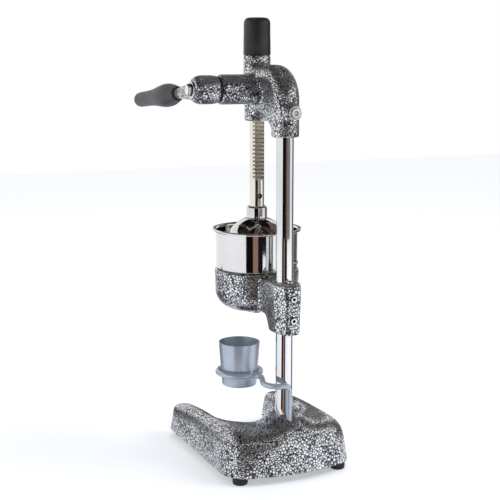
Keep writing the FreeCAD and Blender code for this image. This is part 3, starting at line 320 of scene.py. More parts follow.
def steel(name, colour, roughness, grain, across, wear=0.03):
    """Bare or plated metal whose polish lines are drawn out across the piece.

    grain is the spacing of the lines; across says how far the pattern is squeezed on each axis.
    """
    material, tree, shader = new_material(name)
    place = object_place(tree)
    lines = noise(tree, stretched(tree, place, across), grain, 3.0)
    smears = noise(tree, place, 0.018, 2.0)
    rough = span(tree, smears, 0.3, 0.75, roughness, roughness + wear)
    shade = blend_colours(tree, span(tree, lines, 0.3, 0.7, 0.0, 0.18), colour, linear("a9a7a4"))
    set_shader(
        tree,
        shader,
        base_color=shade,
        metallic=1.0,
        roughness=rough,
        normal=bumped(tree, lines, 0.00002, 0.35),
    )
    return material


def zinc_plate():
    """Bright zinc plate: bluish white, with painted shade darkening it wherever a crevice or a socket closes
    round it.
    """
    material = steel("bright zinc plate", linear("f1f5f4"), 0.28, 0.0015, EVEN_LINES, 0.10)
    tree = material.node_tree
    shader = node_of(tree, "BSDF_PRINCIPLED")
    plain = shader.inputs["Base Color"].links[0].from_socket
    # Painted shade: ambient occlusion blends a dark teal into crevices, socket recesses and the seams round
    # washers and heads
    open_share = add_node(tree, "ShaderNodeAmbientOcclusion", {"Distance": 0.005}, samples=8).outputs["AO"]
    shade = blend_colours(tree, span(tree, open_share, 0.60, 0.92, 0.0, 1.0), linear("16201f"), plain)
    tree.links.new(shade, shader.inputs["Base Color"])
    return material


def rack_steel(colour):
    """Ground and milled ram: cream-white steel, with painted shade deepening into the tooth roots and
    near-black painted shade in the cross hole.
    """
    material = steel("carbon steel, ground and oiled", colour, 0.13, 0.0010, LATHE_LINES, 0.06)
    tree = material.node_tree
    shader = node_of(tree, "BSDF_PRINCIPLED")
    plain = shader.inputs["Base Color"].links[0].from_socket
    axes = add_node(tree, "ShaderNodeSeparateXYZ", {"Vector": object_place(tree)})
    y, z = axes.outputs["Y"], axes.outputs["Z"]
    # Painted shade in the tooth gaps: a darker cream, strongest at the roots and gone at the tips, only where
    # the rack is cut
    past_root = span(tree, y, RAM_Y + 5.8 * MM, RAM_Y + 6.0 * MM, 0.0, 1.0)
    below_tip = span(tree, y, RAM_Y + 6.2 * MM, RAM_Y + 9.0 * MM, 0.70, 0.0)
    above_band = span(tree, z, RACK_START_Z - MM, RACK_START_Z + MM, 0.0, 1.0)
    in_gap = add_node(tree, "ShaderNodeMath", {0: past_root, 1: below_tip}, operation="MULTIPLY")
    shaded = add_node(tree, "ShaderNodeMath", {0: in_gap.outputs[0], 1: above_band}, operation="MULTIPLY")
    # Painted shade: near-black over the cross hole's walls and a thin ring round its mouth
    beside = add_node(tree, "ShaderNodeMath", {0: axes.outputs["X"], 1: RAM_X}, operation="SUBTRACT")
    above = add_node(tree, "ShaderNodeMath", {0: z, 1: CROSS_HOLE_Z}, operation="SUBTRACT")
    offset = add_node(tree, "ShaderNodeCombineXYZ", {"X": beside.outputs[0], "Y": above.outputs[0]})
    reach = add_node(tree, "ShaderNodeVectorMath", {0: offset.outputs[0]}, operation="LENGTH")
    hole_shade = span(tree, reach.outputs["Value"], 4.3 * MM, 4.7 * MM, 1.0, 0.0)
    gap_shaded = blend_colours(tree, shaded.outputs[0], plain, linear("c4bba8"))
    shade = blend_colours(tree, hole_shade, gap_shaded, linear("0a0908"))
    tree.links.new(shade, shader.inputs["Base Color"])
    return material


def moulded(name, colour, roughness, grain, depth, dust="8a8b90"):
    """Moulded polymer: a fine eroded grain that breaks the highlight, and a trace of dust."""
    material, tree, shader = new_material(name)
    place = object_place(tree)
    skin = noise(tree, place, grain, 3.0)
    cloud = noise(tree, place, 0.022, 3.0)
    shade = blend_colours(tree, span(tree, cloud, 0.45, 0.8, 0.0, 0.10), colour, linear(dust))
    set_shader(
        tree,
        shader,
        base_color=shade,
        roughness=span(tree, cloud, 0.3, 0.8, roughness, roughness + 0.12),
        normal=bumped(tree, skin, depth, 0.6),
    )
    return material


LATHE_LINES = (0.12, 0.12, 1.0)
LONG_LINES = (1.0, 1.0, 0.06)
EVEN_LINES = (1.0, 1.0, 1.0)


def make_materials():
    """One material for each of the record's slots."""
    finish = settings().finish
    return {
        "hammertone_paint": hammertone_enamel(),
        "silver_paint": satin_paint(),
        "chromed_tube": steel("chrome plate on drawn tube", finish.chrome, 0.035, 0.003, LONG_LINES, 0.02),
        "polished_steel": steel(
            "stainless steel, spun and buffed", finish.stainless, 0.05, 0.0012, LATHE_LINES
        ),
        "satin_steel": steel("stainless steel, satin", finish.stainless, 0.24, 0.0009, LATHE_LINES, 0.08),
        "machined_steel": rack_steel(finish.milled),
        "zinc_steel": zinc_plate(),
        "bronze": steel("sintered bronze bush", linear("b08a4e"), 0.38, 0.0012, EVEN_LINES, 0.10),
        "black_plastic": moulded("nylon, black, satin mould", finish.cap, 0.33, 0.0012, 0.00003),
        "grey_grip_plastic": moulded("PVC grip, grey, dipped", finish.grip, 0.46, 0.0016, 0.00005),
        "black_rubber": moulded("rubber, black, moulded", finish.rubber, 0.62, 0.0012, 0.00008, "5c5a58"),
    }


MATERIALS = {}


def mark_sharp(mesh, degrees=32.0):
    """Shade a mesh smooth, except where its faces meet at more than this angle."""
    limit = math.radians(degrees)
    work = bmesh.new()
    work.from_mesh(mesh)
    for face in work.faces:
        face.smooth = True
    for edge in work.edges:
        edge.smooth = len(edge.link_faces) == 2 and edge.calc_face_angle(0.0) < limit
    work.to_mesh(mesh)
    work.free()


def smooth_all(piece):
    """Shade every face of a casting smooth."""
    for face in piece.data.polygons:
        face.use_smooth = True


def new_piece(name, mesh):
    """Link a mesh to the scene as an object at the origin."""
    piece = bpy.data.objects.new(name, mesh)
    bpy.context.scene.collection.objects.link(piece)
    return piece


def settle(piece, body, slot, replaced=(), sharp=32.0):
    """Finish a piece: material, shading, body, slot and the CAD nodes it stands for."""
    if sharp:
        mark_sharp(piece.data, sharp)
    piece.data.materials.clear()
    piece.data.materials.append(MATERIALS[slot])
    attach(piece, body)
    for node in replaced:
        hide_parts(node)
    return piece


def applied(piece):
    """Replace a piece's mesh by the result of its modifiers, and drop them."""
    bpy.context.view_layer.update()
    evaluated = piece.evaluated_get(bpy.context.evaluated_depsgraph_get())
    mesh = bpy.data.meshes.new_from_object(evaluated)
    piece.modifiers.clear()
    old = piece.data
    piece.data = mesh
    bpy.data.meshes.remove(old)
    return piece


def discard(*pieces):
    """Remove helper objects."""
    for piece in pieces:
        mesh = piece.data
        bpy.data.objects.remove(piece)
        if isinstance(mesh, bpy.types.Mesh):
            bpy.data.meshes.remove(mesh)


def softened(profile, steps=5):
    """Round the corners of a profile; each point is (radius, height) or (radius, height, corner radius)."""
    count = len(profile)
    result = []
    for index, point in enumerate(profile):
        here = Vector(point[:2])
        corner = point[2] if len(point) > 2 else 0.0
        if not corner:
            result.append(here)
            continue
        before = Vector(profile[index - 1][:2]) - here
        after = Vector(profile[(index + 1) % count][:2]) - here
        reach = min(corner, before.length * 0.49, after.length * 0.49)
        start = here + before.normalized() * reach
        finish = here + after.normalized() * reach
        for step in range(steps + 1):
            share = step / steps
            first = start.lerp(here, share)
            second = here.lerp(finish, share)
            result.append(first.lerp(second, share))
    return result


def axis_turn(direction):
    """Rotation that takes +Z to a direction."""
    return UP.rotation_difference(direction).to_matrix().to_4x4()


def lathe(name, profile, origin, direction=UP, segments=96):
    """Turned piece; profile points in millimetres go once round the section.

    A profile that starts and ends on the axis is closed there, any other one closes on itself.
    """
    points = softened(profile)
    closes_on_axis = points[0].x < 1e-6 and points[-1].x < 1e-6
    work = bmesh.new()
    rings = []
    for point in points:
        if point.x < 1e-6:
            rings.append([work.verts.new((0, 0, point.y * MM))])
            continue
        ring = []
        for index in range(segments):
            angle = math.tau * index / segments
            ring.append(
                work.verts.new((point.x * MM * math.cos(angle), point.x * MM * math.sin(angle), point.y * MM))
            )
        rings.append(ring)
    pairs = list(zip(rings, rings[1:]))
    if not closes_on_axis:
        pairs.append((rings[-1], rings[0]))
    for low, high in pairs:
        if len(low) == 1 and len(high) == 1:
            continue
        for index in range(segments):
            follow = (index + 1) % segments
            if len(low) == 1:
                work.faces.new((low[0], high[index], high[follow]))
            elif len(high) == 1:
                work.faces.new((low[index], low[follow], high[0]))
            else:
                work.faces.new((low[index], low[follow], high[follow], high[index]))
    bmesh.ops.recalc_face_normals(work, faces=work.faces)
    work.transform(Matrix.Translation(origin) @ axis_turn(direction))
    mesh = bpy.data.meshes.new(name)
    work.to_mesh(mesh)
    work.free()
    return new_piece(name, mesh)


def hex_prism(name, across_flats, low, high, origin, direction, bevel=0.0):
    """Hexagonal prism along a direction, with its edges bevelled."""
    work = bmesh.new()
    corner = across_flats / math.sqrt(3) * MM
    rings = []
    for height in (low, high):
        ring = []
        for index in range(6):
            angle = math.tau * index / 6
            ring.append(work.verts.new((corner * math.cos(angle), corner * math.sin(angle), height * MM)))
        rings.append(ring)
    work.faces.new(rings[0])
    work.faces.new(rings[1])
    for index in range(6):
        follow = (index + 1) % 6
        work.faces.new((rings[0][index], rings[0][follow], rings[1][follow], rings[1][index]))
    bmesh.ops.recalc_face_normals(work, faces=work.faces)
    if bevel:
        bmesh.ops.bevel(work, geom=work.edges[:], offset=bevel * MM, segments=2, affect="EDGES")
    work.transform(Matrix.Translation(origin) @ axis_turn(direction))
    mesh = bpy.data.meshes.new(name)
    work.to_mesh(mesh)
    work.free()
    return new_piece(name, mesh)


def block(name, low, high):
    """Box between two corners in metres."""
    work = bmesh.new()
    bmesh.ops.create_cube(work, size=1.0)
    low, high = Vector(low), Vector(high)
    size = high - low
    work.transform(Matrix.Translation((low + high) / 2) @ Matrix.Diagonal((*size, 1.0)))
    mesh = bpy.data.meshes.new(name)
    work.to_mesh(mesh)
    work.free()
    return new_piece(name, mesh)


def carve(piece, *cutters):
    """Cut other pieces out of a piece and remove them."""
    for cutter in cutters:
        cut = piece.modifiers.new("cut", "BOOLEAN")
        cut.operation = "DIFFERENCE"
        cut.solver = "EXACT"
        cut.object = cutter
    applied(piece)
    discard(*cutters)
    return piece


def merged(name, *pieces):
    """Join pieces into one mesh object."""
    work = bmesh.new()
    for piece in pieces:
        work.from_mesh(piece.data)
    mesh = bpy.data.meshes.new(name)
    work.to_mesh(mesh)
    work.free()
    discard(*pieces)
    return new_piece(name, mesh)


def relaxed(mesh, passes, weight_of, outward, inward, swell=0.0):
    """Relax a dense mesh so that its corners turn into cast radii.

    outward is the share of each move that fills hollows, inward the share that wears edges down,
    weight_of gives 0 where a fit has to stay as it is, and swell gives back what the wear took.
    """
    count = len(mesh.vertices)
    places = np.empty(count * 3)
    mesh.vertices.foreach_get("co", places)
    places = places.reshape(-1, 3)
    ends = np.empty(len(mesh.edges) * 2, dtype=np.int64)
    mesh.edges.foreach_get("vertices", ends)
    first, second = ends.reshape(-1, 2).T
    mesh.calc_loop_triangles()
    corners = np.empty(len(mesh.loop_triangles) * 3, dtype=np.int64)
    mesh.loop_triangles.foreach_get("vertices", corners)
    corners = corners.reshape(-1, 3)
    degree = np.bincount(ends, minlength=count)[:, None]
    weight = weight_of(places)[:, None]
    for _ in range(passes):
        total = np.zeros_like(places)
        for axis in range(3):
            total[:, axis] = np.bincount(first, places[second, axis], count)
            total[:, axis] += np.bincount(second, places[first, axis], count)
        move = total / degree - places
        a, b, c = places[corners[:, 0]], places[corners[:, 1]], places[corners[:, 2]]
        facing = np.cross(b - a, c - a)
        normal = np.zeros_like(places)
        for axis in range(3):
            for corner in range(3):
                normal[:, axis] += np.bincount(corners[:, corner], facing[:, axis], count)
        normal /= np.maximum(np.linalg.norm(normal, axis=1, keepdims=True), 1e-12)
        along = (move * normal).sum(1, keepdims=True)
        share = np.where(along > 0, outward, inward)
        slide = move - normal * along
        places = places + weight * (0.5 * share * along * normal + 0.35 * slide + normal * swell / passes)
    mesh.vertices.foreach_set("co", places.ravel())
    mesh.update()


def cast_shell(name, node, voxel, passes, weight_of, outward=1.0, inward=0.35, filled=(), swell=0.0):
    """Casting with cast radii, made from its CAD node; filled helpers close hidden bores."""
    mesh = CAD_NODES[node].data.copy()
    work = bmesh.new()
    work.from_mesh(mesh)
    bmesh.ops.remove_doubles(work, verts=work.verts, dist=1e-6)
    work.to_mesh(mesh)
    work.free()
    piece = new_piece(name, mesh)
    for filler in filled:
        join = piece.modifiers.new("fill", "BOOLEAN")
        join.operation = "UNION"
        join.solver = "EXACT"
        join.object = filler
    if filled:
        applied(piece)
        discard(*filled)
    remesh = piece.modifiers.new("grain", "REMESH")
    remesh.mode = "VOXEL"
    remesh.voxel_size = voxel
    applied(piece)
    relaxed(piece.data, passes, weight_of, outward, inward, swell)
    return piece


def distance_to_axis(places, point, axis):
    """Distance of each place from a line along X, Y or Z."""
    kept = [i for i in range(3) if i != axis]
    gap = places[:, kept] - np.array([point[i] for i in kept])
    return np.linalg.norm(gap, axis=1)


def ramp(values, low, high):
    """0 below low, 1 above high."""
    return np.clip((values - low) / (high - low), 0.0, 1.0)


def geometry_tree(name, inputs):
    """Geometry node group with the given inputs; returns tree, input node and output node."""
    tree = bpy.data.node_groups.new(name, "GeometryNodeTree")
    tree.interface.new_socket("Geometry", in_out="OUTPUT", socket_type="NodeSocketGeometry")
    for label, kind in inputs:
        tree.interface.new_socket(label, in_out="INPUT", socket_type=kind)
    entry = tree.nodes.new("NodeGroupInput")
    leave = tree.nodes.new("NodeGroupOutput")
    return tree, entry, leave


def finish_tree(tree, geometry, material, leave):
    """Realise instances, set the material and close the tree."""
    real = add_node(tree, "GeometryNodeRealizeInstances", {"Geometry": geometry})
    painted = add_node(tree, "GeometryNodeSetMaterial", {"Geometry": real.outputs[0], "Material": material})
    tree.links.new(painted.outputs[0], leave.inputs[0])


def run_tree(piece, tree, values):
    """Give a piece the tree as a modifier, set its inputs and keep the result."""
    modifier = piece.modifiers.new("build", "NODES")
    modifier.node_group = tree
    for item in tree.interface.items_tree:
        if item.in_out == "INPUT" and item.name in values:
            modifier[item.identifier] = values[item.name]
    return applied(piece)


OBJECT, MATERIAL = "NodeSocketObject", "NodeSocketMaterial"
GEOMETRY, WHOLE, NUMBER = "NodeSocketGeometry", "NodeSocketInt", "NodeSocketFloat"


def copies_tree():
    """Copies of one object at every point."""
    tree, entry, leave = geometry_tree(
        "copies at points", (("Points", GEOMETRY), ("Part", OBJECT), ("Material", MATERIAL))
    )
    part = add_node(tree, "GeometryNodeObjectInfo", {"Object": entry.outputs["Part"]})
    placed = add_node(
        tree,
        "GeometryNodeInstanceOnPoints",
        {"Points": entry.outputs["Points"], "Instance": part.outputs["Geometry"]},
    )
    finish_tree(tree, placed.outputs[0], entry.outputs["Material"], leave)
    return tree


def copies(name, part, points, slot):
    """Copies of a part, modelled at the origin, at the given points."""
    mesh = bpy.data.meshes.new(name)
    mesh.from_pydata([tuple(p) for p in points], [], [])
    piece = new_piece(name, mesh)
    run_tree(piece, copies_tree(), {"Part": part, "Material": MATERIALS[slot]})
    discard(part)
    return piece


def toothed_tree():
    """Row of gaps cut out of a bar, with one more cutter."""
    tree, entry, leave = geometry_tree(
        "toothed bar",
        (
            ("Bar", GEOMETRY),
            ("Gap", OBJECT),
            ("Other cuts", OBJECT),
            ("Count", WHOLE),
            ("Pitch", NUMBER),
            ("Material", MATERIAL),
        ),
    )
    step = add_node(tree, "ShaderNodeCombineXYZ", {"Z": entry.outputs["Pitch"]})
    row = add_node(
        tree, "GeometryNodeMeshLine", {"Count": entry.outputs["Count"], "Offset": step.outputs[0]}
    )
    gap = add_node(tree, "GeometryNodeObjectInfo", {"Object": entry.outputs["Gap"]})
    gaps = add_node(
        tree,
        "GeometryNodeInstanceOnPoints",
        {"Points": row.outputs[0], "Instance": gap.outputs["Geometry"]},
    )
    real = add_node(tree, "GeometryNodeRealizeInstances", {"Geometry": gaps.outputs[0]})
    other = add_node(tree, "GeometryNodeObjectInfo", {"Object": entry.outputs["Other cuts"]})
    first = add_node(
        tree,
        "GeometryNodeMeshBoolean",
        {"Mesh 1": entry.outputs["Bar"], "Mesh 2": other.outputs["Geometry"]},
        operation="DIFFERENCE",
        solver="EXACT",
    )
    cut = add_node(
        tree,
        "GeometryNodeMeshBoolean",
        {"Mesh 1": first.outputs[0], "Mesh 2": real.outputs[0]},
        operation="DIFFERENCE",
        solver="EXACT",
    )
    finish_tree(tree, cut.outputs[0], entry.outputs["Material"], leave)
    return tree


def perforated_tree(rings):
    """Rings of round holes through a plate."""
    tree, entry, leave = geometry_tree(
        "perforated plate",
        (("Plate", GEOMETRY), ("Hole radius", NUMBER), ("Depth", NUMBER), ("Material", MATERIAL)),
    )
    punch = add_node(
        tree,
        "GeometryNodeMeshCylinder",
        {"Vertices": 20, "Radius": entry.outputs["Hole radius"], "Depth": entry.outputs["Depth"]},
    )
    everything = tree.nodes.new("GeometryNodeJoinGeometry")
    for radius, count in rings:
        circle = add_node(tree, "GeometryNodeMeshCircle", {"Vertices": count, "Radius": radius})
        holes = add_node(
            tree,
            "GeometryNodeInstanceOnPoints",
            {"Points": circle.outputs[0], "Instance": punch.outputs[0]},
        )
        tree.links.new(holes.outputs[0], everything.inputs[0])
    real = add_node(tree, "GeometryNodeRealizeInstances", {"Geometry": everything.outputs[0]})
    cut = add_node(
        tree,
        "GeometryNodeMeshBoolean",
        {"Mesh 1": entry.outputs["Plate"], "Mesh 2": real.outputs[0]},
        operation="DIFFERENCE",
        solver="EXACT",
    )
    finish_tree(tree, cut.outputs[0], entry.outputs["Material"], leave)
    return tree


def rod_tree():
    """Round rod along a line of points."""
    tree, entry, leave = geometry_tree(
        "bent rod", (("Path", GEOMETRY), ("Radius", NUMBER), ("Material", MATERIAL))
    )
    curve = add_node(tree, "GeometryNodeMeshToCurve", {"Mesh": entry.outputs["Path"]})
    section = add_node(
        tree, "GeometryNodeCurvePrimitiveCircle", {"Resolution": 28, "Radius": entry.outputs["Radius"]}
    )
    tube = add_node(
        tree,
        "GeometryNodeCurveToMesh",
        {"Curve": curve.outputs[0], "Profile Curve": section.outputs[0], "Fill Caps": True},
    )
    finish_tree(tree, tube.outputs[0], entry.outputs["Material"], leave)
    return tree


class PressOperator(bpy.types.Operator):
    """Shared options of the building steps."""

    bl_options = {"REGISTER", "UNDO"}

    def execute(self, context):
        self.build()
        return {"FINISHED"}


class PRESS_OT_base(PressOperator):
    """Cast base with its worn top edges and raised column socket"""

    bl_idname = "press.base"
    bl_label = "Base casting"

    def build(self):
        casting = settings().casting
        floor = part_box("base_casting")[0].z

        def weight(places):
            return ramp(places[:, 2], floor + 3 * MM, floor + 16 * MM)

        core = lathe("socket core", ((0, 31), (17, 31), (17, 96), (0, 96)), COLUMN_AXIS, segments=48)
        piece = cast_shell(
            "base_shell",
            "base_casting",
            casting.base_voxel,
            casting.base_rounds,
            weight,
            1.0,
            0.9,
            (core,),
            0.8 * MM,
        )
        settle(piece, "press_frame", "hammertone_paint", ("base_casting",), 0)
        smooth_all(piece)


class PRESS_OT_feet(PressOperator):
    """Four moulded rubber feet"""

    bl_idname = "press.feet"
    bl_label = "Rubber feet"

    def build(self):
        low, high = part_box("rubber_feet")
        radius = 12.2
        profile = (
            (0, 0.9),
            (6.5, 0.9, 0.5),
            (7.0, 0.0, 0.4),
            (radius - 1.4, 0.0, 1.6),
            (radius, 2.2, 1.2),
            (radius - 0.3, 11.2, 0.6),
            (radius - 1.6, 11.95, 0.4),
            (0, 11.95),
        )
        foot = lathe("foot", profile, Vector(), segments=48)
        inset = radius * MM
        rear_y = high.y - inset
        front_y = low.y + inset
        centre_x = (low.x + high.x) / 2
        rear_x, front_x = 86 * MM, 88 * MM
        points = []
        for side in (-1, 1):
            points.append((centre_x + side * rear_x, rear_y, 0))
            points.append((centre_x + side * front_x, front_y, 0))
        piece = copies("rubber_feet_moulded", foot, points, "black_rubber")
        settle(piece, "press_frame", "black_rubber", ("rubber_feet",))


class PRESS_OT_column(PressOperator):
    """Drawn and chromed column tube"""

    bl_idname = "press.column"
    bl_label = "Column"

    def build(self):
        low, high = (c.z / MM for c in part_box("column_tube"))
        profile = ((13.5, low), (13.5, high), (11.2, high), (11.2, low))
        piece = lathe("column_bright", profile, COLUMN_AXIS, segments=128)
        settle(piece, "press_frame", "chromed_tube", ("column_tube",))


class PRESS_OT_head(PressOperator):
    """Cast head: ram guide, barrel, arm and column socket"""

    bl_idname = "press.head"
    bl_label = "Head casting"

    def build(self):
        casting = settings().casting
        chamber_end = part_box("pinion_gear")[1].x + 3 * MM

        def weight(places):
            ram = distance_to_axis(places, RAM_AXIS, 2)
            axle = distance_to_axis(places, AXLE, 0)
            column = distance_to_axis(places, COLUMN_AXIS, 2)
            bore = np.where(places[:, 0] < chamber_end, 21.2 * MM, 14.6 * MM)
            free = ramp(ram, 15.4 * MM, 16.2 * MM) * ramp(axle, bore, bore + 0.8 * MM)
            return free * ramp(column, 14.0 * MM, 15.0 * MM)

        piece = cast_shell(
            "head_shell", "head_casting", casting.head_voxel, casting.head_rounds, weight, 1.0, 0.25
        )
        settle(piece, "press_frame", "hammertone_paint", ("head_casting",), 0)
        smooth_all(piece)


def socket_head(name, radius, height, key, origin, direction):
    """Socket-head screw head with a hexagonal recess, standing on origin."""
    profile = ((0, 0), (radius, 0), (radius, height, 0.7), (0, height))
    head = lathe(name, profile, origin, direction, 48)
    recess = hex_prism("recess", key, height * 0.2, height + 1, origin, direction)
    return carve(head, recess)


class PRESS_OT_head_fittings(PressOperator):
    """Cap, clamp screw, chamber cover and screws of the head"""

    bl_idname = "press.head_fittings"
    bl_label = "Head fittings"

    def build(self):
        low, high = (c.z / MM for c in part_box("top_cap"))
        profile = (
            (0, high - 0.1),
            (1.5, high - 0.1),
            (21.2, high - 0.2, 10.5),
            (21.4, high - 24),
            (21.95, low + 1.4, 0.5),
            (21.6, low, 0.5),
            (18.6, low),
            (18.6, high - 8),
            (14, high - 3.2),
            (0, high - 3.2),
        )
        cap = lathe("top_cap_moulded", profile, RAM_AXIS, segments=96)
        settle(cap, "press_frame", "black_plastic", ("top_cap",))

        low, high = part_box("head_clamp_washer")
        boss = Vector((COLUMN_X, low.y, (low.z + high.z) / 2))
        ring = ((5.6, 0), (10.4, 0), (10.4, 1.6, 0.5), (5.6, 1.6, 0.3))
        washer = lathe("clamp_washer_turned", ring, boss, TO_REAR, 64)
        settle(washer, "press_frame", "zinc_steel", ("head_clamp_washer",))
        seat = boss + TO_REAR * 1.6 * MM
        head = socket_head("clamp_screw_head", 7.5, 2.4, 7.0, seat, TO_REAR)
        shank = lathe("clamp_shank", ((0, -19), (4.9, -19), (4.9, 1), (0, 1)), seat, TO_REAR, 32)
        screw = merged("clamp_screw_full", head, shank)
        settle(screw, "press_frame", "zinc_steel", ("head_clamp_screw",))

        face = Vector((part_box("pinion_cover")[0].x, AXLE_Y, AXLE_Z))
        disc = ((0, 0.9), (9.0, 0.9, 0.4), (10.0, 0.0, 0.4), (29.8, 0, 1.2), (29.8, -5), (0, -5))
        cover = lathe("cover_turned", disc, face, -TO_RIGHT, 96)
        settle(cover, "press_frame", "zinc_steel", ("pinion_cover",))
        button = socket_head("button", 3.8, 2.4, 2.5, Vector(), -TO_RIGHT)
        points = []
        reach = 25.5 * MM
        for angle in (90, 210, 330):
            turn = math.radians(angle)
            points.append((face.x, AXLE_Y + reach * math.cos(turn), AXLE_Z + reach * math.sin(turn)))
        screws = copies("cover_screw_heads", button, points, "zinc_steel")
        settle(screws, "press_frame", "zinc_steel", ("cover_screws",))


class PRESS_OT_ram(PressOperator):
    """Round ram with rack teeth and cross hole"""

    bl_idname = "press.ram"
    bl_label = "Toothed ram"

    count: IntProperty(name="Gaps", description="Number of gaps between teeth", default=27, min=1)
    pitch: FloatProperty(
        name="Pitch", description="Tooth pitch", default=2 * math.pi * MM, unit="LENGTH", min=0
    )

    def build(self):
        low, high = (c.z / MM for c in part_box("ram_rack"))
        bar = lathe(
            "ram_toothed", ((0, low), (12, low), (12, high, 1.6), (0, high)), RAM_AXIS, segments=96
        )
        first_gap = AXLE_Z - 22.5 * self.pitch
        tip = RAM_Y + 10.6 * MM
        depth, open_reach = 4.5 * MM, 1.0 * MM
        slope = math.tan(math.radians(20))
        half_mouth = self.pitch / 4 + 0.06 * MM + (2 * MM + open_reach) * slope
        half_root = self.pitch / 4 + 0.06 * MM - 2.5 * MM * slope
        work = bmesh.new()
        corners = []
        for x in (-15 * MM, 15 * MM):
            for y, z in (
                (tip - depth, -half_root),
                (tip + open_reach, -half_mouth),
                (tip + open_reach, half_mouth),
                (tip - depth, half_root),
            ):
                corners.append(work.verts.new((RAM_AXIS.x + x, y, first_gap + z)))
        left, right = corners[:4], corners[4:]
        work.faces.new(left)
        work.faces.new(right)
        for index in range(4):
            follow = (index + 1) % 4
            work.faces.new((left[index], left[follow], right[follow], right[index]))
        bmesh.ops.recalc_face_normals(work, faces=work.faces)
        mesh = bpy.data.meshes.new("gap")
        work.to_mesh(mesh)
        work.free()
        gap = new_piece("gap", mesh)
        flat = block(
            "flat",
            (RAM_X - 15 * MM, tip, first_gap - 5.5 * MM),
            (RAM_X + 15 * MM, tip + 12 * MM, high * MM + 5 * MM),
        )
        hole = lathe(
            "hole",
            ((0, -20), (4, -20), (4, 20), (0, 20)),
            Vector((RAM_X, RAM_Y, CROSS_HOLE_Z)),
            TO_REAR,
            32,
        )
        others = merged("other cuts", flat, hole)
        run_tree(
            bar,
            toothed_tree(),
            {
                "Gap": gap,
                "Other cuts": others,
                "Count": self.count,
                "Pitch": self.pitch,
                "Material": MATERIALS["machined_steel"],
            },
        )
        discard(gap, others)
        settle(bar, "ram", "machined_steel", ("ram_rack",), 25)


class PRESS_OT_bell(PressOperator):
    """Polished bell and its turned collar"""

    bl_idname = "press.bell"
    bl_label = "Bell"

    def build(self):
        centre, outer, wall = 348.3, 54.0, 2.5
        crown = math.asin((399.5 - centre) / outer)
        inner_crown = math.asin((394.1 - centre) / (outer - wall))
        profile = [(0, 399.5)]
        steps = 26
        for step in range(steps + 1):
            angle = crown * (1 - step / steps)
            profile.append((outer * math.cos(angle), centre + outer * math.sin(angle)))
        profile += [(outer, 338.6, 0.8), (outer - wall, 338.1, 0.8)]
        for step in range(steps + 1):
            angle = inner_crown * step / steps
            radius = outer - wall
            profile.append((radius * math.cos(angle), centre + radius * math.sin(angle)))
        profile.append((0, 394.1))
        bell = lathe("bell_spun", profile, RAM_AXIS, segments=128)
        settle(bell, "ram", "polished_steel", ("press_bell",), 40)
        collar = lathe(
            "collar_turned",
            (
                (11.0, 399.7),
                (16.6, 399.7, 0.4),
                (17.0, 400.6, 0.4),
                (17.0, 416.6, 0.5),
                (14.4, 419.3, 0.6),
                (11.0, 419.3),
            ),
            RAM_AXIS,
            segments=96,
        )
        settle(collar, "ram", "polished_steel", ("bell_collar",))


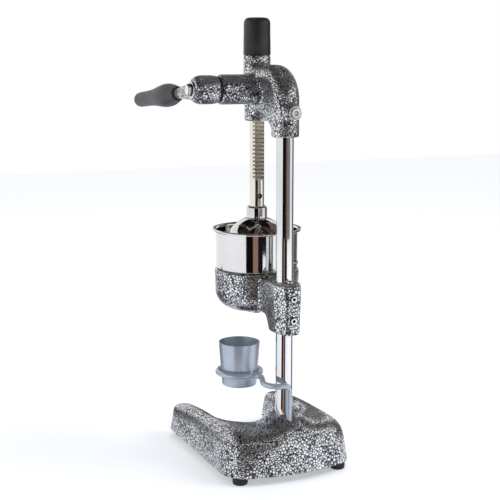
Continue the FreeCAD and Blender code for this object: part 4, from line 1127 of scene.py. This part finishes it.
class PRESS_OT_bowl(PressOperator):
    """Spun bowl with rolled rim, strainer, reamer and spout"""

    bl_idname = "press.bowl"
    bl_label = "Bowl and strainer"

    def build(self):
        profile = [
            (57.0, 302.0),
            (57.0, 303.5),
            (60.5, 303.5, 1.0),
            (60.5, 320.0, 1.2),
            (66.3, 320.0, 1.0),
            (66.3, 380.0, 1.6),
            (68.0, 382.4, 1.2),
        ]
        for degrees in range(110, -181, -24):
            turn = math.radians(degrees)
            profile.append((71.4 + 2.2 * math.cos(turn), 381.0 + 2.2 * math.sin(turn)))
        profile += [(67.8, 379.0, 0.8), (67.8, 318.6, 1.2), (62.0, 318.6, 0.8), (62.0, 302.0)]
        bowl = lathe("bowl_spun", profile, RAM_AXIS, segments=160)
        settle(bowl, "press_frame", "polished_steel", ("juice_bowl",), 40)

        low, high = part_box("bowl_stud")
        stud_place = (low + high) / 2
        out = (stud_place - RAM_AXIS - UP * stud_place.z).normalized()
        base = RAM_AXIS + UP * stud_place.z + out * 67.2 * MM
        stud = lathe("stud_turned", ((0, 0), (2.6, 0), (2.6, 4.4, 0.8), (0, 4.4)), base, out, 32)
        settle(stud, "press_frame", "polished_steel", ("bowl_stud",))

        low, high = (c.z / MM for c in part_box("strainer_plate"))
        level, rim = 320.8, 66.0
        plate = lathe(
            "strainer_punched",
            ((0, low - level), (rim, low - level), (rim, high - level), (0, high - level)),
            Vector(),
            segments=96,
        )
        run_tree(
            plate,
            perforated_tree(((40 * MM, 26), (46 * MM, 32), (52 * MM, 36), (58 * MM, 40))),
            {"Hole radius": 1.7 * MM, "Depth": 8 * MM, "Material": MATERIALS["satin_steel"]},
        )
        plate.data.transform(Matrix.Translation(RAM_AXIS + UP * level * MM))
        settle(plate, "press_frame", "satin_steel", ("strainer_plate",))

        self.reamer()
        spout = lathe(
            "spout_turned",
            (
                (13.2, 242.0, 0.3),
                (15.0, 242.0, 0.6),
                (15.0, 264.0),
                (19.0, 264.0),
                (19.0, 265.5, 0.5),
                (13.2, 265.5, 1.0),
            ),
            RAM_AXIS,
            segments=72,
        )
        settle(spout, "press_frame", "satin_steel", ("juice_spout",))

    def reamer(self):
        """Ribbed cone with rounded ribs."""
        low, high = (c.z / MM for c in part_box("reamer_cone"))
        height = high - low
        ribs, around, levels = 8, 160, 44
        work = bmesh.new()
        rings = []
        for level in range(levels):
            share = level / levels
            envelope = 33.0 * (1 - share ** 1.35) ** 0.72
            ring = []
            fade = min(1.0, share / 0.12)
            for index in range(around):
                angle = math.tau * index / around
                wave = abs(math.cos(angle * ribs / 2))
                radius = envelope * (1 - 0.20 * fade * (1 - wave ** 0.7)) * MM
                ring.append(
                    work.verts.new(
                        (radius * math.cos(angle), radius * math.sin(angle), (low + share * height) * MM)
                    )
                )
            rings.append(ring)
        tip = work.verts.new((0, 0, (high - 0.2) * MM))
        foot = work.verts.new((0, 0, low * MM))
        for lower, upper in zip(rings, rings[1:]):
            for index in range(around):
                follow = (index + 1) % around
                work.faces.new((lower[index], lower[follow], upper[follow], upper[index]))
        for index in range(around):
            follow = (index + 1) % around
            work.faces.new((rings[-1][index], rings[-1][follow], tip))
            work.faces.new((rings[0][follow], rings[0][index], foot))
        bmesh.ops.recalc_face_normals(work, faces=work.faces)
        work.transform(Matrix.Translation(RAM_AXIS))
        mesh = bpy.data.meshes.new("reamer_ribbed")
        work.to_mesh(mesh)
        work.free()
        piece = new_piece("reamer_ribbed", mesh)
        settle(piece, "press_frame", "satin_steel", ("reamer_cone",), 50)


class PRESS_OT_carrier(PressOperator):
    """Cast carrier with its clamp screws"""

    bl_idname = "press.carrier"
    bl_label = "Bowl carrier"

    def build(self):
        casting = settings().casting
        screw_low, screw_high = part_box("carrier_clamp_screws")
        heights = (screw_low.z + 5 * MM, screw_high.z - 5 * MM)
        face_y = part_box("bowl_carrier")[1].y

        def weight(places):
            ram = distance_to_axis(places, RAM_AXIS, 2)
            column = distance_to_axis(places, COLUMN_AXIS, 2)
            seat = np.where(places[:, 2] > 300 * MM, ramp(ram, 62.8 * MM, 63.8 * MM), 1.0)
            spout = ramp(ram, 15.2 * MM, 17 * MM)
            free = seat * spout * ramp(column, 14.0 * MM, 15.0 * MM)
            for height in heights:
                screw = distance_to_axis(places, (COLUMN_X, 0, height), 1)
                near = ramp(screw, 6.2 * MM, 8.0 * MM)
                free = free * np.where(places[:, 1] > face_y - 6 * MM, near, 1.0)
            return free

        piece = cast_shell(
            "carrier_shell", "bowl_carrier", casting.head_voxel, casting.head_rounds + 14, weight, 1.0, 0.5
        )
        settle(piece, "press_frame", "hammertone_paint", ("bowl_carrier",), 0)
        smooth_all(piece)
        seat_y = face_y - 3.5 * MM
        head = socket_head("clamp_head", 5.0, 5.0, 5.0, Vector(), TO_REAR)
        shank = lathe("shank", ((0, -17), (2.9, -17), (2.9, 1), (0, 1)), Vector(), TO_REAR, 24)
        part = merged("clamp_screw", head, shank)
        points = [(COLUMN_X, seat_y, height) for height in heights]
        screws = copies("carrier_screws_full", part, points, "zinc_steel")
        settle(screws, "press_frame", "zinc_steel", ("carrier_clamp_screws",))
        low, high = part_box("lug_screw")
        top = high.z / MM
        dome = lathe(
            "lug_dome",
            (
                (0, top - 16),
                (2.5, top - 16),
                (2.5, top - 6),
                (4.0, top - 6, 0.3),
                (4.4, top - 4.4, 1.0),
                (4.2, top - 2.0, 1.2),
                (2.6, top - 0.4, 1.0),
                (0, top - 0.05),
            ),
            Vector(((low.x + high.x) / 2, (low.y + high.y) / 2, 0)),
            segments=40,
        )
        settle(dome, "press_frame", "polished_steel", ("lug_screw",), 50)


class PRESS_OT_lever(PressOperator):
    """Hub, washer, bolt, collar and bulb grip of the lever"""

    bl_idname = "press.lever"
    bl_label = "Lever"

    droop: FloatProperty(
        name="Droop", description="Angle of the lever below level", default=math.radians(5), subtype="ANGLE"
    )

    def build(self):
        casting = settings().casting
        lever_x = sum(c.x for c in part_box("lever_rod")) / 2
        direction = Vector((0, -math.cos(self.droop), -math.sin(self.droop)))
        start = Vector((lever_x, AXLE_Y, AXLE_Z))

        def weight(places):
            axle = distance_to_axis(places, AXLE, 0)
            gap = places - np.array(start)
            along = gap @ np.array(direction)
            side = np.linalg.norm(gap - along[:, None] * np.array(direction), axis=1)
            rod = np.where(along > 24 * MM, ramp(side, 6.4 * MM, 7.4 * MM), 1.0)
            return ramp(axle, 10.4 * MM, 11.2 * MM) * rod

        hub = cast_shell(
            "hub_shell", "lever_hub", casting.head_voxel * 0.8, casting.head_rounds + 10, weight, 1.0, 0.4
        )
        settle(hub, "lever", "hammertone_paint", ("lever_hub",), 0)
        smooth_all(hub)

        low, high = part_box("hub_washer")
        face = Vector((low.x, AXLE_Y, AXLE_Z))
        ring = ((5.2, 0), (13.6, 0), (13.6, 2.5, 0.7), (5.2, 2.5, 0.4))
        washer = lathe("hub_washer_turned", ring, face, TO_RIGHT, 64)
        settle(washer, "lever", "zinc_steel", ("hub_washer",))
        seat = face + TO_RIGHT * 2.5 * MM
        head = hex_prism("hub_bolt_head", 16.8, 0.0, 6.3, seat, TO_RIGHT, 0.8)
        shank = lathe("bolt_shank", ((0, -26), (4.9, -26), (4.9, 1), (0, 1)), seat, TO_RIGHT, 32)
        bolt = merged("hub_bolt_full", head, shank)
        settle(bolt, "lever", "zinc_steel", ("hub_bolt",))

        low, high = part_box("thrust_ring")
        width = (high.x - low.x) / MM
        ring = (
            (10.1, 0.05),
            (20.2, 0.05, 0.3),
            (20.6, 0.6, 0.3),
            (20.6, width - 0.6, 0.3),
            (20.2, width, 0.3),
            (10.1, width),
        )
        spacer = lathe("thrust_ring_moulded", ring, Vector((low.x, AXLE_Y, AXLE_Z)), TO_RIGHT, 96)
        settle(spacer, "lever", "black_plastic", ("thrust_ring",))

        collar = lathe(
            "collar_moulded",
            ((6.1, 87.1), (8.2, 87.1, 0.5), (8.9, 88.3, 0.6), (8.9, 105.9), (6.1, 105.9)),
            start,
            direction,
            64,
        )
        settle(collar, "lever", "black_plastic", ("rod_collar",))
        knots = (
            (106.1, 11.2),
            (107.0, 12.2),
            (119.0, 14.2),
            (139.0, 18.6),
            (157.0, 19.9),
            (177.0, 18.7),
            (210.0, 14.8),
            (245.0, 13.2),
            (280.0, 13.35),
            (297.0, 12.9),
        )
        profile = [(6.1, 285.0), (6.1, 106.1), (10.6, 106.1)]
        for (at, radius), (next_at, next_radius) in zip(knots, knots[1:]):
            for step in range(6):
                share = step / 6
                profile.append((radius + (next_radius - radius) * share, at + (next_at - at) * share))
        outline = np.array(profile[3:])
        for _ in range(14):
            outline[1:-1] = outline[1:-1] * 0.5 + (outline[:-2] + outline[2:]) * 0.25
        profile = profile[:3] + [tuple(point) for point in outline]
        for step in range(9):
            angle = math.pi / 2 * step / 9
            profile.append((12.9 * math.cos(angle) ** 0.8, 297.0 + 11.9 * math.sin(angle)))
        profile += [(0, 308.95), (0, 285.0)]
        grip = lathe("grip_dipped", [(0, 285.0)] + profile[:-1], start, direction, 96)
        settle(grip, "lever", "grey_grip_plastic", ("lever_grip",), 50)


def walked_points(place, heading, steps):
    """Points along a level walk of lines and arcs; lengths in millimetres, turns in degrees."""
    points = []
    for step in steps:
        if step[0] == "line":
            place = place + Vector((math.cos(heading), math.sin(heading), 0)) * step[1] * MM
            points.append(place)
            continue
        radius, turn = step[1] * MM, math.radians(step[2])
        side = math.copysign(1.0, turn)
        centre = place + Vector((-math.sin(heading), math.cos(heading), 0)) * side * radius
        count = max(6, int(abs(step[2]) / 4))
        for index in range(1, count + 1):
            angle = heading + turn * index / count
            points.append(centre - Vector((-math.sin(angle), math.cos(angle), 0)) * side * radius)
        place = points[-1]
        heading += turn
    return points


class PRESS_OT_cup(PressOperator):
    """Bent-rod holder and tapered drip cup"""

    bl_idname = "press.cup"
    bl_label = "Cup and holder"

    rod: length_setting("Rod", "Radius of the holder's rod", 4.6)

    def build(self):
        low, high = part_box("cup_holder")
        bend = 8 * MM
        level = 149 * MM
        leg = Vector((COLUMN_X + 1.5 * MM, COLUMN_Y + 22 * MM, low.z))
        points = [leg, Vector((leg.x, leg.y, level - bend))]
        for index in range(1, 13):
            angle = math.pi / 2 * index / 12
            shift = Vector((bend * (1 - math.cos(angle)), 0, bend * math.sin(angle)))
            points.append(Vector((leg.x, leg.y, level - bend)) + shift)
        steps = (
            ("line", 2.5),
            ("turn", 22.0, -110.0),
            ("line", 27.5),
            ("turn", 13.5, 115.0),
            ("turn", 35.0, -330.0),
        )
        points += walked_points(points[-1], 0.0, steps)
        mesh = bpy.data.meshes.new("holder_bent")
        mesh.from_pydata([tuple(p) for p in points], [(i, i + 1) for i in range(len(points) - 1)], [])
        piece = new_piece("holder_bent", mesh)
        run_tree(piece, rod_tree(), {"Radius": self.rod, "Material": MATERIALS["silver_paint"]})
        settle(piece, "holder", "silver_paint", ("cup_holder",), 50)

        low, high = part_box("drip_cup")
        bottom, top = low.z / MM, high.z / MM
        axis = Vector(((low.x + high.x) / 2, (low.y + high.y) / 2, 0))
        profile = (
            (0, bottom + 0.8),
            (20.0, bottom + 0.8, 1.0),
            (22.0, bottom, 1.0),
            (28.3, bottom, 2.2),
            (33.9, top, 0.7),
            (32.5, top, 0.7),
            (27.0, bottom + 2.2, 3.0),
            (0, bottom + 2.2),
        )
        cup = lathe("cup_spun", profile, axis, segments=96)
        settle(cup, "cup", "silver_paint", ("drip_cup",), 50)


class PRESS_OT_hidden(PressOperator):
    """Finishes of the CAD nodes that stay as they are"""

    bl_idname = "press.hidden"
    bl_label = "Inner parts"

    def build(self):
        slots = {item["node"]: item["material_slot"] for item in frame["record"]["subparts"]}
        for name, node in CAD_NODES.items():
            node.data.materials.clear()
            node.data.materials.append(MATERIALS[slots[name]])


# Floor: share of its own glow, and the glow near the press and far from it, in metres
FLOOR_WHITE_SHARE = 0.33
FLOOR_REACH = (0.4, 1.8)
FLOOR_GLOW = (1.35, 2.0)


def stage_material(name, colour, white_share):
    """Plain matt surface; given a white share, the camera and mirrors see it close to white."""
    material, tree, shader = new_material(name)
    set_shader(tree, shader, base_color=colour, roughness=0.9)
    shader.inputs["Specular IOR Level"].default_value = 0.0
    if not white_share:
        return material
    share = add_node(
        tree, "ShaderNodeMath", {0: seen_directly(tree), 1: white_share}, operation="MULTIPLY"
    )
    away = add_node(tree, "ShaderNodeVectorMath", {0: object_place(tree)}, operation="LENGTH")
    strength = span(tree, away.outputs["Value"], *FLOOR_REACH, *FLOOR_GLOW)
    glow = add_node(tree, "ShaderNodeEmission", {"Color": (1, 1, 1, 1), "Strength": strength})
    mix = add_node(
        tree, "ShaderNodeMixShader", {0: share.outputs[0], 1: shader.outputs[0], 2: glow.outputs[0]}
    )
    output = node_of(tree, "OUTPUT_MATERIAL")
    tree.links.new(mix.outputs[0], output.inputs["Surface"])
    return material


# The photograph's camera, fitted on the press
CAMERA_AZIMUTH = 0.4156
CAMERA_PITCH = 0.1736
CAMERA_BACK = 1.7267
CAMERA_SIDE = -0.0540
CAMERA_HEIGHT = 0.6650
FOCAL_PIXELS = 1122.7
PICTURE_PIXELS = 500.0
SENSOR = 36.0


# Soft lamps: name, turn in degrees, distance, height, size in metres, share of the key's power
LAMPS = (
    ("key", 80, 1.6, 1.6, 1.1, 1.0),
    ("fill", -70, 1.9, 1.6, 0.9, 0.4),
    ("top", 180, 0.5, 2.3, 1.2, 0.6),
)
LAMP_AIM = Vector((0, 0.08, 0.4))

# Wall cards: name, colour, first and last turn in degrees, lower and upper edge in metres
WALLS = (
    ("dark room left", "101012", -31, -11, 0.003, 0.235),
    ("warm stripe", "a67f72", -11, 3, 0.003, 0.235),
    ("dark room right", "1c1c20", 3, 30.5, 0.1, 0.235),
    ("low dark right", "1c1c20", 3, 16, 0.003, 0.1),
    ("upper dark room", "1b1514", -28, 14, 0.235, 0.62),
    ("upper warm stripe", "7b6258", 14, 30, 0.235, 0.62),
    ("upper grey wall", "8c898b", 30, 66, 0.235, 0.50),
    ("top dark wall", "15110f", -64, 34, 0.78, 1.9),
    ("far wall right", "6d6663", 104, 150, 0.003, 1.6),
    ("low wall left", "4c4c52", -150, -112, 0.003, 0.10),
    ("far edge", "7c7a7b", 166, 190, 0.003, 1.6),
)

# Ceiling panels round the press: first and last turn in degrees, colour
CEILING = (
    (-180, -110, "1b1716"),
    (-110, -50, "3a2d28"),
    (-50, -20, "141111"),
    (-20, 15, "6e564b"),
    (15, 72, "1b1615"),
    (72, 110, "4b3c35"),
    (110, 180, "181413"),
)


def towards_camera(turn=0.0):
    """Level direction from the press to the camera, turned to the picture's right by degrees."""
    angle = CAMERA_AZIMUTH - math.radians(turn)
    return Vector((math.sin(angle), math.cos(angle), 0))


def card(name, colour, outline):
    """Flat or curved studio card that only mirrors see, from rows of (turn, distance, height)."""
    middle = Vector((0, 0.1, 0))
    vertices, faces = [], []
    for row in outline:
        for turn, distance, height in row:
            vertices.append(middle + towards_camera(turn) * distance + UP * height)
    width = len(outline[0])
    for row in range(len(outline) - 1):
        for index in range(width - 1):
            first = row * width + index
            faces.append((first, first + 1, first + width + 1, first + width))
    mesh = bpy.data.meshes.new(name)
    mesh.from_pydata([tuple(v) for v in vertices], [], faces)
    piece = new_piece(name, mesh)
    mesh.materials.append(stage_material(name + " cloth", colour, 0.0))
    piece.visible_camera = False
    piece.visible_diffuse = False
    piece.visible_shadow = False


def wall_card(name, colour, start, finish, low, high, distance=0.95, inner=0.36):
    """Card that stands round the press; one that starts on the floor also runs along it."""
    steps = 12
    turns = [start + (finish - start) * index / steps for index in range(steps + 1)]
    outline = [(distance, low), (distance, high)]
    if low < 0.01:
        outline.insert(0, (inner, low))
    card(name, colour, [[(turn, reach, rise) for turn in turns] for reach, rise in outline])


def ceiling_card(name, colour, start, finish, near, far, height=1.75):
    """Card that hangs over the press."""
    steps = 6
    turns = [start + (finish - start) * index / steps for index in range(steps + 1)]
    card(name, colour, [[(turn, reach, height) for turn in turns] for reach in (near, far)])


class PRESS_OT_stage(PressOperator):
    """White studio, soft lights and the photograph's camera"""

    bl_idname = "press.stage"
    bl_label = "Studio"

    def build(self):
        stage = settings().stage
        half = stage.floor_size / 2
        mesh = bpy.data.meshes.new("studio_floor")
        mesh.from_pydata(
            [(-half, -half, 0), (half, -half, 0), (half, half, 0), (-half, half, 0)], [], [(0, 1, 2, 3)]
        )
        floor = new_piece("studio_floor", mesh)
        mesh.materials.append(stage_material("white card", linear("e9eef7"), FLOOR_WHITE_SHARE))

        world = bpy.data.worlds.new("white studio")
        bpy.context.scene.world = world
        world.use_nodes = True
        tree = world.node_tree
        tree.nodes.clear()
        strength = add_node(
            tree,
            "ShaderNodeMapRange",
            {"Value": seen_directly(tree), "To Min": stage.sky, "To Max": 1.0},
        )
        sky = add_node(
            tree, "ShaderNodeBackground", {"Color": (1, 1, 1, 1), "Strength": strength.outputs[0]}
        )
        add_node(tree, "ShaderNodeOutputWorld", {"Surface": sky.outputs[0]})

        for name, turn, distance, height, size, share in LAMPS:
            place = towards_camera(turn) * distance + UP * height
            self.lamp(name, place, size, stage.key * share)

        for name, colour, start, finish, low, high in WALLS:
            wall_card(name, linear(colour), start, finish, low, high)
        for index, (start, finish, colour) in enumerate(CEILING):
            ceiling_card(f"ceiling {index + 1}", linear(colour), start, finish, 0.12, 1.9)
        self.camera()

    def lamp(self, name, place, size, power):
        """Soft square lamp aimed at the press."""
        data = bpy.data.lights.new(name, "AREA")
        data.size = size
        data.energy = power
        lamp = bpy.data.objects.new(name, data)
        lamp.location = place
        lamp.visible_glossy = False
        aim = LAMP_AIM - place
        lamp.rotation_euler = aim.to_track_quat("-Z", "Y").to_euler()
        bpy.context.scene.collection.objects.link(lamp)

    def camera(self):
        """Camera with the fitted place, turn and focal length."""
        back = towards_camera()
        right = Vector((-back.y, back.x, 0))
        data = bpy.data.cameras.new("photo_camera")
        data.sensor_width = SENSOR
        data.lens = FOCAL_PIXELS / PICTURE_PIXELS * SENSOR
        data.clip_start = 0.05
        data.clip_end = 50.0
        camera = bpy.data.objects.new("photo_camera", data)
        camera.location = COLUMN_AXIS + back * CAMERA_BACK + right * CAMERA_SIDE + UP * CAMERA_HEIGHT
        look_back = back * math.cos(CAMERA_PITCH) + UP * math.sin(CAMERA_PITCH)
        upward = UP * math.cos(CAMERA_PITCH) - back * math.sin(CAMERA_PITCH)
        turn = Matrix((right, upward, look_back)).transposed()
        camera.rotation_euler = turn.to_euler()
        bpy.context.scene.collection.objects.link(camera)
        bpy.context.scene.camera = camera
        bpy.context.scene.view_settings.view_transform = "Standard"


BUILD_ORDER = (
    PRESS_OT_hidden,
    PRESS_OT_base,
    PRESS_OT_feet,
    PRESS_OT_column,
    PRESS_OT_head,
    PRESS_OT_head_fittings,
    PRESS_OT_ram,
    PRESS_OT_bell,
    PRESS_OT_bowl,
    PRESS_OT_carrier,
    PRESS_OT_lever,
    PRESS_OT_cup,
    PRESS_OT_stage,
)


class PRESS_PT_panel(bpy.types.Panel):
    """Building steps and settings of the press"""

    bl_idname = "PRESS_PT_panel"
    bl_label = "Lever citrus press"
    bl_space_type = "VIEW_3D"
    bl_region_type = "UI"
    bl_category = "Press"

    def draw(self, context):
        column = self.layout.column()
        for step in BUILD_ORDER:
            column.operator(step.bl_idname)
        for group in (settings().casting, settings().finish, settings().stage):
            box = self.layout.box()
            for name in group.__annotations__:
                box.prop(group, name)


CLASSES = (CastingSettings, FinishSettings, StageSettings, PressSettings) + BUILD_ORDER + (PRESS_PT_panel,)


def register():
    """Register the classes and the settings."""
    for item in CLASSES:
        bpy.utils.register_class(item)
    bpy.types.Scene.press_settings = PointerProperty(type=PressSettings)


def unregister():
    """Remove the classes and the settings."""
    del bpy.types.Scene.press_settings
    for item in reversed(CLASSES):
        bpy.utils.unregister_class(item)


def main():
    """Build the whole press."""
    register()
    MATERIALS.update(make_materials())
    for step in BUILD_ORDER:
        group, name = step.bl_idname.split(".")
        getattr(getattr(bpy.ops, group), name)()


if __name__ == "__main__":
    main()
